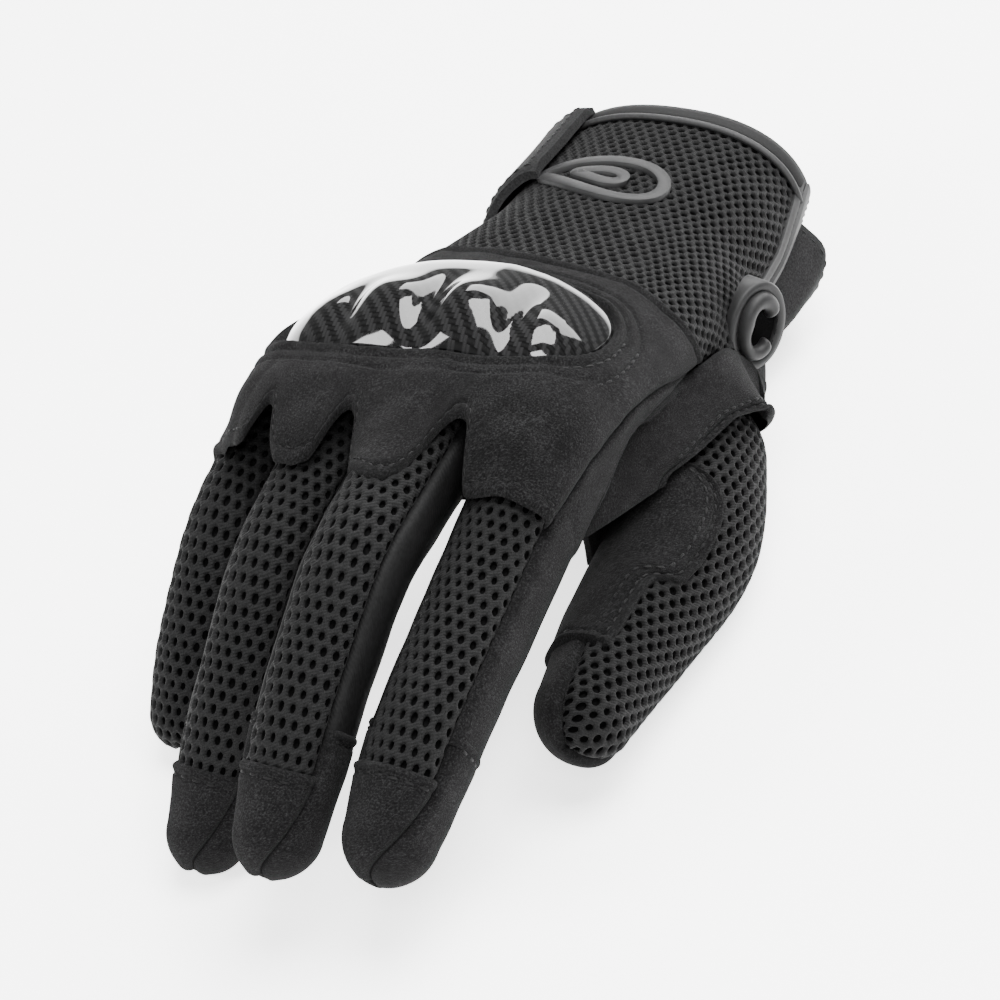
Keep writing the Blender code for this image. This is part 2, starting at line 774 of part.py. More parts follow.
def make_strap():
    strap_panel("closure_strap", (337, 206), lambda _: 2.6, STRAP_WALL, "suede", 16)
    strap_panel("hook_patch", (204, 180), lambda _: 1.5, 0.8, "fastener", 4, (116, 94))
    strap_panel(
        "strap_pull_tab", (205, 146), lambda share: 2.6 + 1.6 * share, STRAP_WALL, "suede", 8
    )


# ---------------------------------------------------------------- assembly


def clear_scene():
    for old in list(bpy.data.objects):
        bpy.data.objects.remove(old)


def main():
    clear_scene()
    frame = bpy.data.objects.new("hand_frame", None)
    bpy.context.scene.collection.objects.link(frame)
    for name in FINGERS:
        make_finger(name)
    make_thumb()
    make_hand()
    make_palm_patches()
    make_slit()
    make_guard()
    make_badge()
    make_strap()
    place(frame)


def place(frame):
    """Tips the hand frame, then moves it so that the box's bottom centre is the origin."""
    tilt = TILT.to_4x4()
    frame.matrix_world = tilt
    bpy.context.view_layer.update()
    corners = []
    for piece in bpy.data.objects:
        if piece.type == "MESH":
            corners += [piece.matrix_world @ v.co for v in piece.data.vertices]
    low = Vector([min(c[i] for c in corners) for i in range(3)])
    high = Vector([max(c[i] for c in corners) for i in range(3)])
    middle = (low + high) / 2
    frame.matrix_world = Matrix.Translation((-middle.x, -middle.y, -low.z)) @ tilt


main()
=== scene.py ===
"""The looks of a short-cuff riding glove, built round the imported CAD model.

Shapes are laid out in the hand's own frame, in millimetres: the origin is the centre of the middle
knuckle, +X points to the thumb side, -Y along the fingers and +Z out of the back of the hand.
A chart gives a point of the glove's skin for two coordinates along it and a level above it.
"""

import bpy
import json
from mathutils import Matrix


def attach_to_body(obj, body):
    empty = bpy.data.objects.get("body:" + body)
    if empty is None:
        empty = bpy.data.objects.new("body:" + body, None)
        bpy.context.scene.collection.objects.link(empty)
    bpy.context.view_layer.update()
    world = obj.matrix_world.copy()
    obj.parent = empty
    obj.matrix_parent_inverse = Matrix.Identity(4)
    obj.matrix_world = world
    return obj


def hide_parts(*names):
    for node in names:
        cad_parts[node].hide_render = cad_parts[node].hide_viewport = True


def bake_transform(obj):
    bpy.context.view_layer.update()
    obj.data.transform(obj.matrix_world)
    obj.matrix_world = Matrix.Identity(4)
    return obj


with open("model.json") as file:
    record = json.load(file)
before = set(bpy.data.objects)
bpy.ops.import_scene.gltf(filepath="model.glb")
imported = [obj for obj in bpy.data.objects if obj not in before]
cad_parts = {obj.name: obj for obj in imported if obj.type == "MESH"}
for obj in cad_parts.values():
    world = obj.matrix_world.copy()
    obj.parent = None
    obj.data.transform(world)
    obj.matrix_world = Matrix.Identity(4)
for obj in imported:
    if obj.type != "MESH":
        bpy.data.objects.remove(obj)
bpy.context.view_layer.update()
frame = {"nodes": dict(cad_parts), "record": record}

import copy
import json
import math

import bpy
import numpy as np
from mathutils import Matrix, Vector

MM = 0.001  # metres in a millimetre

# ---------------------------------------------------------------- measures, in the hand's frame

# Fingers: knuckle centre, angle off straight ahead, bends at the knuckle, middle and end joints,
# lengths of the three bones, half width and half height
FINGERS = {
    "index": ((22.5, 2, -2), -1.5, (33, 0, 12), (45.5, 28, 29.5), 11.6, 12.4),
    "middle": ((0.5, 0, 0), -0.5, (20, 27, 10), (49, 31, 30.5), 10.7, 11.2),
    "ring": ((-20, 5, -2.5), -4.0, (32, 25, 5), (47, 29.5, 33), 10.4, 11.2),
    "pinky": ((-38.6, 13, -8), -7.5, (35, 26, 7), (37.5, 22.5, 26), 9.3, 10.0),
}
THUMB_POINTS = ((26, 66, -14), (42, 26, -35), (39, -6, -45), (39.5, -27, -49.5))
THUMB_WIDTHS = (16.0, 16.0, 12.9, 10.0)
THUMB_HEIGHTS = (15.0, 13.8, 11.0, 9.2)
THUMB_BACK = (0.8, 0.0, 0.6)

# Sections of the hand: y, centre x, centre z, half width, height above, height below, roll
HAND_SECTIONS = np.array(
    (
        (135, -1.0, 0, 31.5, 21.5, 23.0, 0),
        (127, -0.8, 0, 31.5, 21.2, 22.5, 0),
        (100, 1.0, -1, 31.0, 19.5, 21.0, 0),
        (80, 0.6, -2, 30.6, 17.5, 21.0, 2),
        (50, 0.0, -2, 37.0, 15.5, 20.0, 5),
        (20, -4.0, -1, 41.0, 14.5, 17.0, 7),
        (0, -5.5, -1, 41.0, 14.0, 15.5, 8),
        (-14, -5.0, -4, 39.0, 12.5, 13.0, 8),
        (-26, -4.0, -11, 36.0, 9.0, 9.0, 9),
    ),
    float,
)
HAND_POWER = 2.35  # 2 is an ellipse, more is squarer

# The hand's chart fans out from two centres: y, left x, left z, right x, right z, radii
HAND_CENTRES = np.array(
    (
        (135, -10.0, 0.0, 9.0, 0.0, 21.0, 21.0),
        (100, -10.0, -1.0, 12.0, -1.0, 20.0, 19.0),
        (80, -12.0, -3.0, 14.0, -1.5, 19.0, 17.0),
        (50, -20.0, -3.7, 20.0, -0.5, 17.0, 17.0),
        (20, -29.0, -4.5, 21.5, 1.0, 15.0, 15.0),
        (0, -34.0, -12.0, 21.0, -1.5, 12.0, 14.0),
        (-14, -39.0, -24.0, 21.5, -11.0, 10.0, 12.0),
        (-26, -41.5, -33.0, 21.5, -19.0, 9.5, 12.0),
        (-45, -43.0, -45.0, 21.0, -30.0, 9.0, 12.0),
    ),
    float,
)

GUARD_CENTRE = (-8.0, 11.5)
GUARD_HALF = (36.0, 18.5)
GUARD_TURN = -4.0
GUARD_POWER = 2.6

BACK_EDGES = (38, 142)
PALM_EDGES = (212, 328)
CAP_LENGTH = 24.0
HEM_Y = 127.0
HEM_WIDTH = 6.0
STRAP_RANGE = (84.0, 120.0)
STRAP_HINGE = 55.0  # how far round the hand the strap peels from

# The camera, in the hand's frame
CAMERA_AT = (219.5, -474.1, 232.8)
CAMERA_AZIMUTH = 23.9
CAMERA_ELEVATION = 26.1
CAMERA_ROLL = 0.5
CAMERA_LENS = 103.0

# ---------------------------------------------------------------- small helpers


def mix(a, b, share):
    return a + (b - a) * share


def smooth_step(x):
    x = np.clip(x, 0.0, 1.0)
    return x * x * (3 - 2 * x)


def bump(x, centre, width):
    return np.exp(-(((x - centre) / width) ** 2))


def unit(v):
    v = np.asarray(v, float)
    return v / np.linalg.norm(v, axis=-1, keepdims=True)


def line_stops(points):
    """How far along a line of points each one is."""
    steps = np.linalg.norm(np.diff(points, axis=0), axis=1)
    return np.concatenate([[0], np.cumsum(steps)])


def on_line(s, stops, line):
    return np.stack([np.interp(s, stops, column) for column in line.T], axis=-1)


def rows_between(s, first, last, share):
    """Grids of s and of the places between first and last, one column for each share."""
    places = first[:, None] + (last - first)[:, None] * share
    return np.repeat(s[:, None], len(share), axis=1), places


def signed_power(x, power):
    return np.sign(x) * np.abs(x) ** power


def smooth_table(rows, spread=10):
    """A table's rows at every whole y, with its corners smoothed over."""
    y = np.arange(-60, 141, 1.0)
    window = np.hanning(2 * spread + 3)[1:-1]
    window /= window.sum()
    order = rows[rows[:, 0].argsort()]
    columns = []
    for i in range(1, rows.shape[1]):
        values = np.interp(y, order[:, 0], order[:, i])
        padded = np.pad(values, spread, mode="edge")
        columns.append(np.convolve(padded, window, mode="valid"))
    return y, columns


def table_at(table, y):
    stops, columns = table
    return [np.interp(y, stops, column) for column in columns]


def lookup(table, row, column):
    """A table's value at fractional places, through a smooth curve."""
    rows, columns = table.shape
    row = np.clip(row, 0, rows - 1.001)
    column = np.clip(column, 0, columns - 1.001)

    def taps(x, size):
        base = np.floor(x).astype(int)
        t = x - base
        weights = (
            -0.5 * t + t**2 - 0.5 * t**3,
            1 - 2.5 * t**2 + 1.5 * t**3,
            0.5 * t + 2 * t**2 - 1.5 * t**3,
            -0.5 * t**2 + 0.5 * t**3,
        )
        return [(np.clip(base + k - 1, 0, size - 1), w) for k, w in enumerate(weights)]

    total = 0.0
    for i, wi in taps(row, rows):
        for j, wj in taps(column, columns):
            total = total + wi * wj * table[i, j]
    return total


def ripple(u, v, size, seed):
    """Smooth noise from -1 to 1, size millimetres across, the same on every run."""
    values = np.random.default_rng(seed).uniform(-1, 1, (64, 64))
    return lookup_wrapped(values, u / size, v / size)


def lookup_wrapped(values, x, y):
    rows, columns = values.shape
    i, j = np.floor(x).astype(int), np.floor(y).astype(int)
    s, t = smooth_step(x - i), smooth_step(y - j)
    a = mix(values[i % rows, j % columns], values[(i + 1) % rows, j % columns], s)
    b = mix(values[i % rows, (j + 1) % columns], values[(i + 1) % rows, (j + 1) % columns], s)
    return mix(a, b, t)


# ---------------------------------------------------------------- the shape of the hand


def rounded(points, reach, count):
    """The points' line with each inner corner rounded."""
    points = [np.array(p, float) for p in points]
    line = [points[0]]
    for a, b, c in zip(points, points[1:], points[2:]):
        before = unit(a - b) * min(reach, np.linalg.norm(a - b) / 2.1)
        after = unit(c - b) * min(reach, np.linalg.norm(c - b) / 2.1)
        for t in np.linspace(0, 1, count):
            line.append(b + before * (1 - t) ** 2 + after * t * t)
    line.append(points[-1])
    return np.array(line)


class Tube:
    """An elliptical tube round a bent line, with a dome on its end: a finger or the thumb."""

    def __init__(self, joints, side, half_width, half_height, reach, count):
        self.joints = np.array(joints, float)
        self.line = rounded(joints, reach, count)
        self.side = unit(side)
        self.stops = line_stops(self.line)
        self.total = self.stops[-1]
        self.half_width, self.half_height = half_width, half_height
        self.dome = min(half_width(1.0), half_height(1.0)) * 1.1

    def frame(self, s):
        """The middle line's point, and its side, forward and up directions, s along it."""
        s = np.clip(s, 0, self.total)
        centre = self.on_line(s)
        ahead = self.on_line(np.minimum(s + 2, self.total))
        behind = self.on_line(np.maximum(s - 2, 0))
        forward = unit(ahead - behind)
        side = unit(self.side - forward * (forward @ self.side)[..., None])
        return centre, side, forward, np.cross(forward, side)

    def on_line(self, s):
        return on_line(s, self.stops, self.line)

    def point(self, s, degrees, level):
        """0 degrees is a finger's thumb side, 90 its back. s past the line's end is on the dome."""
        s, degrees, level = np.broadcast_arrays(
            *[np.asarray(a, float) for a in (s, degrees, level)]
        )
        centre, side, forward, up = self.frame(s)
        swing = np.clip((s - self.total) / self.dome, 0, math.pi / 2)
        share = np.clip(s / self.total, 0, 1)
        angle = np.radians(degrees)
        across = (self.half_width(share) + level) * np.cos(angle) * np.cos(swing)
        above = (self.half_height(share) + level) * np.sin(angle) * np.cos(swing)
        ahead = (self.dome + level) * np.sin(swing)
        square = side * across[..., None] + up * above[..., None]
        return centre + square + forward * ahead[..., None]

    def distance(self, p):
        """About how far each point is outside the tube."""
        nearest = np.full(len(p), 1e9)
        for a, b, start in zip(self.line, self.line[1:], self.stops):
            length = np.linalg.norm(b - a)
            forward = (b - a) / length
            q = p - a
            t = np.clip(q @ forward, 0, length)
            r = q - t[:, None] * forward
            share = (start + t) / self.total
            w, h = self.half_width(share), self.half_height(share)
            side = unit(self.side - forward * (self.side @ forward))
            up = np.cross(forward, side)
            ends = r @ forward / np.minimum(w, h)
            k = np.sqrt((r @ side / w) ** 2 + (r @ up / h) ** 2 + ends**2) + 1e-6
            reach = np.linalg.norm(r, axis=1)
            nearest = np.minimum(nearest, reach * (1 - 1 / k))
        return nearest


def make_finger_tube(name):
    knuckle, splay, bends, bones, half_width, half_height = FINGERS[name]
    turn = math.radians(splay)
    joints = [np.array(knuckle, float)]
    down = 0.0
    for bend, bone in zip(bends, bones):
        down += math.radians(bend)
        flat = math.cos(down)
        step = np.array((math.sin(turn) * flat, -math.cos(turn) * flat, -math.sin(down)))
        joints.append(joints[-1] + step * bone)
    tube_joints = joints[:3] + [joints[3] - unit(joints[3] - joints[2]) * half_height * 0.86]

    def taper(share):
        return 1.03 - 0.15 * share - 0.10 * np.clip((share - 0.8) / 0.2, 0, 1) ** 2

    tube = Tube(
        tube_joints,
        (math.cos(turn), math.sin(turn), 0),
        lambda share: half_width * taper(share),
        lambda share: half_height * taper(share),
        reach=9,
        count=6,
    )
    tube.stop_middle = bones[0]
    return tube


def make_thumb_tube():
    stops = np.linalg.norm(np.diff(np.array(THUMB_POINTS, float), axis=0), axis=1)
    stops = np.concatenate([[0], np.cumsum(stops)]) / stops.sum()
    along = unit(np.subtract(THUMB_POINTS[2], THUMB_POINTS[1]))
    side = np.cross(unit(THUMB_BACK), along)
    tube = Tube(
        THUMB_POINTS,
        side,
        lambda share: np.interp(share, stops, THUMB_WIDTHS),
        lambda share: np.interp(share, stops, THUMB_HEIGHTS),
        reach=14,
        count=8,
    )
    tube.stop_first, tube.stop_second = 48.25, 81.5
    return tube


TUBES = {name: make_finger_tube(name) for name in FINGERS}
THUMB = make_thumb_tube()
SECTION_TABLE = smooth_table(HAND_SECTIONS, 8)
CENTRE_TABLE = smooth_table(HAND_CENTRES, 6)


def smooth_least(a, b, reach):
    h = np.clip(0.5 + 0.5 * (b - a) / reach, 0, 1)
    return mix(b, a, h) - reach * h * (1 - h)


def hand_distance(p):
    lowest = HAND_SECTIONS[-1, 0]
    y = np.clip(p[:, 1], lowest, HAND_SECTIONS[0, 0])
    centre_x, centre_z, half_width, above, below, roll = table_at(SECTION_TABLE, y)
    turn = np.radians(roll)
    x, z = p[:, 0] - centre_x, p[:, 2] - centre_z
    across = x * np.cos(turn) + z * np.sin(turn)
    up = z * np.cos(turn) - x * np.sin(turn)
    height = np.where(up > 0, above, below)
    power = HAND_POWER
    k = (np.abs(across / half_width) ** power + np.abs(up / height) ** power) ** (1 / power)
    distance = np.hypot(across, up) * (1 - 1 / np.maximum(k, 1e-3))
    past = np.maximum(lowest - p[:, 1], 0)
    return np.where(past > 0, np.hypot(np.maximum(distance, 0), past), distance)


def glove_distance(p):
    total = None
    for name in ("pinky", "ring", "middle", "index"):
        finger = TUBES[name].distance(p)
        total = finger if total is None else smooth_least(total, finger, 1.5)
    total = smooth_least(total, hand_distance(p), 5.0)
    return smooth_least(total, THUMB.distance(p), 7.0)


def cast(origin, direction, start, distance):
    """How far along each ray the skin is, searched from start: inside the body or outside it."""
    travel = np.array(start, float)
    for _ in range(36):
        travel -= distance(origin + direction * travel[:, None]) * 0.9
        travel = np.maximum(travel, 0.5)
    return travel


class Chart:
    """A skin found once along rays on an even grid, then looked up smoothly."""

    def __init__(self, rays, u_range, v_range, u_step, v_step, start, distance=glove_distance):
        self.rays = rays
        self.u0, self.v0, self.u_step, self.v_step = u_range[0], v_range[0], u_step, v_step
        u, v = np.meshgrid(
            np.arange(*u_range, u_step), np.arange(*v_range, v_step), indexing="ij"
        )
        origin, direction = rays(u.ravel(), v.ravel())
        self.table = cast(origin, direction, start(direction), distance).reshape(u.shape)

    def point(self, u, v, level):
        u, v, level = np.broadcast_arrays(*[np.asarray(a, float) for a in (u, v, level)])
        travel = lookup(self.table, (u - self.u0) / self.u_step, (v - self.v0) / self.v_step)
        origin, direction = self.rays(u, v)
        return origin + direction * (travel + level)[..., None]


def hand_rays(y, around):
    """around is x on the flat of the back. It runs on round the thumb side, or the other way."""
    left_x, left_z, right_x, right_z, left_r, right_r = table_at(CENTRE_TABLE, y)
    right = np.maximum((around - right_x) / right_r, 0)
    left = np.maximum((left_x - around) / left_r, 0)
    under = np.maximum(right - math.pi, 0) * right_r
    end = np.maximum(under - (right_x - left_x), 0) / left_r
    turn = np.where(right > 0, np.minimum(right, math.pi) + end, -np.minimum(left, math.pi))
    x = np.clip(around, left_x, right_x) - np.minimum(under, right_x - left_x)
    z = mix(left_z, right_z, (x - left_x) / (right_x - left_x))
    origin = np.stack([x, y + 0 * x, z], axis=-1)
    direction = np.stack([np.sin(turn), 0 * x, np.cos(turn)], axis=-1)
    return origin, direction


def thumb_rays(s, degrees):
    centre, side, _, up = THUMB.frame(s)
    angle = np.radians(degrees)
    return centre, side * np.cos(angle)[..., None] + up * np.sin(angle)[..., None]


def from_above(direction):
    """Upward rays come in from outside, to cross the gaps between fingers. The others go out."""
    return np.where(direction[:, 2] > -0.2, 45.0, 2.0)


def drape(chart):
    """The same chart with its creases bridged, as a cloth lying over them would."""

    def blur(table, *reaches):
        for axis, reach in enumerate(reaches):
            window = np.hanning(2 * reach + 3)[1:-1]
            window /= window.sum()
            margins = [(reach, reach) if k == axis else (0, 0) for k in (0, 1)]
            padded = np.pad(table, margins, mode="edge")
            table = np.apply_along_axis(np.convolve, axis, padded, window, mode="valid")
        return table

    draped = Chart.__new__(Chart)
    draped.__dict__.update(chart.__dict__)
    draped.table = blur(np.maximum(chart.table, blur(chart.table, 7, 3)), 3, 1) + 0.1
    return draped


def near_start(direction):
    """Where the search along each ray starts: just off the middle line."""
    return 2.0 + 0 * direction[:, 0]


HAND = Chart(hand_rays, (-46, 130), (-80, 190), 1.5, 1.5, from_above)
THUMB_ROOT = Chart(thumb_rays, (0, THUMB.total + 0.1), (-60, 300), 1.5, 4.0, near_start)
DRAPED = drape(HAND)
# Without the thumb and the fingers
PALM = Chart(hand_rays, (-46, 130), (-80, 190), 1.5, 1.5, near_start, hand_distance)


def web_rays(u, v):
    """Rays along one direction, to reach the hollow between the thumb and the hand."""
    origin = WEB_CENTRE + WEB_ACROSS * np.asarray(u)[..., None] + WEB_UP * np.asarray(v)[..., None]
    return origin, np.broadcast_to(WEB_OUT, origin.shape)


WEB_CENTRE = np.array((40.0, 20.0, -20.0))
WEB_OUT = unit((0.80, -0.38, 0.46))
WEB_ACROSS = unit(np.cross((0, 0, 1), WEB_OUT))
WEB_UP = np.cross(WEB_OUT, WEB_ACROSS)
WEB = Chart(web_rays, (-50, 60), (-50, 50), 1.5, 1.5, lambda direction: 45.0 + 0 * direction[:, 0])


def on_web(points):
    """Where the points lie on the web's chart."""
    away = points - WEB_CENTRE
    return away @ WEB_ACROSS, away @ WEB_UP


def girth(y):
    """How far it is all the way round the hand at y, as the chart counts it."""
    left_x, _, right_x, _, left_r, right_r = table_at(CENTRE_TABLE, y)
    return 2 * (right_x - left_x) + math.pi * (left_r + right_r)


def hand_top(x, y):
    return HAND.point(y, x, 0)[..., 2]


# ---------------------------------------------------------------- placing it in the world


def hand_to_world():
    """The hand's frame in the world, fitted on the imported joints."""
    places = {j["name"]: j["pos_m"] for j in frame["record"]["behaviour"]["joints"]}
    here, there = [], []
    for name, tube in TUBES.items():
        for joint, ending in ((0, "_knuckle"), (1, "_middle_joint")):
            here.append(tube.joints[joint] * MM)
            there.append(places[name + ending])
    here, there = np.array(here), np.array(there)
    a, b = here - here.mean(0), there - there.mean(0)
    u, _, vt = np.linalg.svd(a.T @ b)
    flip = np.diag([1, 1, np.sign(np.linalg.det(u @ vt))])
    turn = (u @ flip @ vt).T
    return turn, there.mean(0) - turn @ here.mean(0)


TURN, SHIFT = hand_to_world()


def to_world(points):
    return np.asarray(points, float) * MM @ TURN.T + SHIFT


# ---------------------------------------------------------------- making pieces


def new_piece(name, points, faces, materials, kinds=None, cloth=None, sharp=50):
    """A named mesh from points in the hand's frame. cloth is each point's place on the fabric."""
    mesh = bpy.data.meshes.new(name)
    mesh.from_pydata(points if isinstance(points, list) else points.tolist(), [], faces)
    for material in materials:
        mesh.materials.append(MATERIALS[material])
    if kinds is not None:
        mesh.polygons.foreach_set("material_index", np.asarray(kinds, np.int32))
    if cloth is not None:
        attribute = mesh.attributes.new("cloth", "FLOAT_VECTOR", "POINT")
        attribute.data.foreach_set("vector", np.asarray(cloth, np.float32).ravel())
    mesh.shade_smooth()
    mesh.set_sharp_from_angle(angle=math.radians(sharp))
    made = bpy.data.objects.new(name, mesh)
    bpy.context.scene.collection.objects.link(made)
    return made


def attach(piece, holder):
    """holder is a body's name, to which the piece is attached, or two bodies and two points, which
    are not used: the piece is then only baked in place.
    """
    if isinstance(holder, str):
        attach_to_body(piece, holder)
    else:
        tuple(holder[2])
        tuple(holder[3])
        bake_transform(piece)
    return piece


def resting(points, gap):
    """World points, lifted if they would lie less than gap millimetres above the table."""
    world = to_world(points)
    world[..., 2] = np.maximum(world[..., 2], gap * MM)
    return world


def grid_faces(rows, columns, flip, offset=0):
    i, j = np.meshgrid(np.arange(rows - 1), np.arange(columns - 1), indexing="ij")
    a = (i * columns + j).ravel() + offset
    corners = [a, a + columns, a + columns + 1, a + 1]
    if flip:
        corners.reverse()
    return np.stack(corners, axis=1).tolist()


def closed_sheet(name, top, bottom, materials, cloth, under_cloth, holder):
    """A closed panel between two grids of world points. Its inner side has the second material."""
    rows, columns = top.shape[:2]
    count = rows * columns
    points = np.vstack([top.reshape(-1, 3), bottom.reshape(-1, 3)])
    faces = grid_faces(rows, columns, False) + grid_faces(rows, columns, True, count)
    kinds = [0] * ((rows - 1) * (columns - 1)) + [1] * ((rows - 1) * (columns - 1))
    index = np.arange(count).reshape(rows, columns)
    rim = np.concatenate([index[:, 0], index[-1, 1:], index[-2::-1, -1], index[0, -2:0:-1]])
    for a, b in zip(rim, np.roll(rim, -1)):
        faces.append([int(b), int(a), int(a) + count, int(b) + count])
        kinds.append(0)
    flat = np.concatenate([cloth.reshape(-1, 3), under_cloth.reshape(-1, 3)])
    piece = new_piece(name, points, faces, materials, kinds, flat)
    return attach(piece, holder)


def edge_level(distance, style):
    """How a panel's surface rises or falls near an edge."""
    if style == "seam":
        return 0.15 * bump(distance, 2.2, 1.3) - 1.1 * np.exp(-((distance / 0.7) ** 1.4))
    if style == "soft":
        return -1.0 * np.exp(-((distance / 1.6) ** 1.5))
    if style == "sunk":
        return -1.6 * smooth_step(1 - distance / 9)
    if style == "cut":
        edge = 0.25 * bump(distance, 1.0, 0.8) - 0.4 * bump(distance, 2.2, 0.45)
        return edge - 0.6 * np.exp(-distance / 0.35)
    if style == "turned":
        lip = 0.4 * bump(distance, 0.9, 0.8) - 0.5 * bump(distance, 2.3, 0.5)
        return lip - 1.3 * np.clip(1 - distance / 0.5, 0, 1) ** 2
    return 0 * distance


def edge_distances(points):
    """How far each grid point is from the grid's first and last row, and first and last column."""
    down = np.linalg.norm(np.diff(points, axis=0), axis=2).cumsum(axis=0)
    down = np.vstack([np.zeros((1, points.shape[1])), down])
    along = np.linalg.norm(np.diff(points, axis=1), axis=2).cumsum(axis=1)
    along = np.hstack([np.zeros((points.shape[0], 1)), along])
    return {"start": down, "end": down[-1] - down, "left": along, "right": along[:, -1:] - along}


class Panel:
    """A grid on a chart: u, v at every grid point, with a level for its outer face."""

    def __init__(self, chart, u, v, level=0.0, edges=None, ripples=0.15, seed=1, shape=None):
        self.chart = chart
        self.u, self.v = np.broadcast_arrays(np.asarray(u, float), np.asarray(v, float))
        flat = chart.point(self.u, self.v, level)
        self.distances = edge_distances(flat)
        self.level = level + 0 * self.u
        self.add_relief(flat, edges, ripples, seed, shape)

    def add_relief(self, flat, edges, ripples, seed, shape=None):
        """Raise and lower the panel, then lay the cloth: two distances along it, and the level."""
        for side, style in (edges or {}).items():
            self.level = self.level + edge_level(self.distances[side], style)
        if shape is not None:
            self.level = self.level + shape(self.u, self.v, flat)
        x, y, z = np.moveaxis(flat + seed * 17.3, -1, 0)
        self.level = self.level + ripples * ripple(x + z, y, 7, seed)
        self.cloth = np.stack(
            [self.distances["left"], self.distances["start"], self.level + 7 * seed], axis=-1
        )

    def part(self, first, last):
        """The same panel's rows from first to last."""
        some = copy.copy(self)
        some.u, some.v, some.level, some.cloth = (
            grid[first:last] for grid in (self.u, self.v, self.level, self.cloth)
        )
        some.distances = {side: grid[first:last] for side, grid in self.distances.items()}
        return some

    def build(self, name, materials, holder, slot, wall=1.4, gap=0.0):
        top = resting(self.chart.point(self.u, self.v, self.level), gap)
        bottom = resting(self.chart.point(self.u, self.v, self.level - wall), gap + wall)
        under_cloth = self.cloth - (0, 0, wall)
        return closed_sheet(name, top, bottom, materials, self.cloth, under_cloth, holder)

    def line(self, side, distance, first=0.0, last=1.0):
        """Points on the outer face along a side, this far in from it, and the ways out of it."""
        d = self.distances[side]
        across_rows = side in ("start", "end")
        if not across_rows:
            d, u, v, level = d.T, self.u.T, self.v.T, self.level.T
        else:
            u, v, level = self.u, self.v, self.level
        if side in ("end", "right"):
            d, u, v, level = d[::-1], u[::-1], v[::-1], level[::-1]
        columns = range(int(first * (d.shape[1] - 1)), int(last * (d.shape[1] - 1)) + 1)
        places = [
            [np.interp(distance, d[:, k], table[:, k]) for table in (u, v, level)] for k in columns
        ]
        u, v, level = np.array(places).T
        surface = self.chart.point(u, v, level)
        return surface, unit(self.chart.point(u, v, level + 1) - surface)


# A stitch: a short thread, round at both ends
STITCH_RINGS = ((-1.0, 0.25), (-0.86, 0.75), (-0.4, 1.0), (0.4, 1.0), (0.86, 0.75), (1.0, 0.25))
STITCH_SIDES = 6


def stitches(name, lines, holder, length=1.8, pitch=2.9, radius=0.3):
    """Rows of stitches along lines of points with their outward directions."""
    points, faces = [], []
    for path, out in lines:
        stops = line_stops(path)
        count = max(int(stops[-1] / pitch), 1)
        centres = (np.arange(count) + 0.5) * stops[-1] / count

        centres = centres[to_world(on_line(centres, stops, path))[:, 2] > 0.8 * MM]
        middle, up = on_line(centres, stops, path), unit(on_line(centres, stops, out))
        ahead, behind = (on_line(centres + reach, stops, path) for reach in (0.4, -0.4))
        along = unit(ahead - behind)
        across = np.cross(along, up)
        for centre, forward, side, rise in zip(middle, along, across, up):
            base = len(points)
            for place, size in STITCH_RINGS:
                for k in range(STITCH_SIDES):
                    angle = 2 * math.pi * k / STITCH_SIDES
                    ring = side * math.cos(angle) + rise * math.sin(angle) * 0.8
                    hump = rise * (0.06 - 0.12 * place * place)
                    spot = centre + forward * place * length / 2 + hump
                    points.append(spot + ring * radius * size)
            for r in range(len(STITCH_RINGS) - 1):
                for k in range(STITCH_SIDES):
                    a = base + r * STITCH_SIDES + k
                    b = base + r * STITCH_SIDES + (k + 1) % STITCH_SIDES
                    faces.append([a, b, b + STITCH_SIDES, a + STITCH_SIDES])
            faces.append([base + k for k in range(STITCH_SIDES)][::-1])
            last = base + (len(STITCH_RINGS) - 1) * STITCH_SIDES
            faces.append([last + k for k in range(STITCH_SIDES)])
    world = to_world(np.array(points))
    piece = new_piece(name, world, faces, ["thread"], cloth=np.array(points))
    return attach(piece, holder)


# ---------------------------------------------------------------- air mesh

CELL_PITCH = 2.85
HOLE_RADIUS = 0.84
HOLE_DEPTH = 1.15
# Rings of a cell from its border to the hole's floor: share of the way in to the hole, and level
CELL_RINGS = ((0.45, 0.34), (0.86, 0.12), (1.0, -0.25), (1.06, -HOLE_DEPTH))


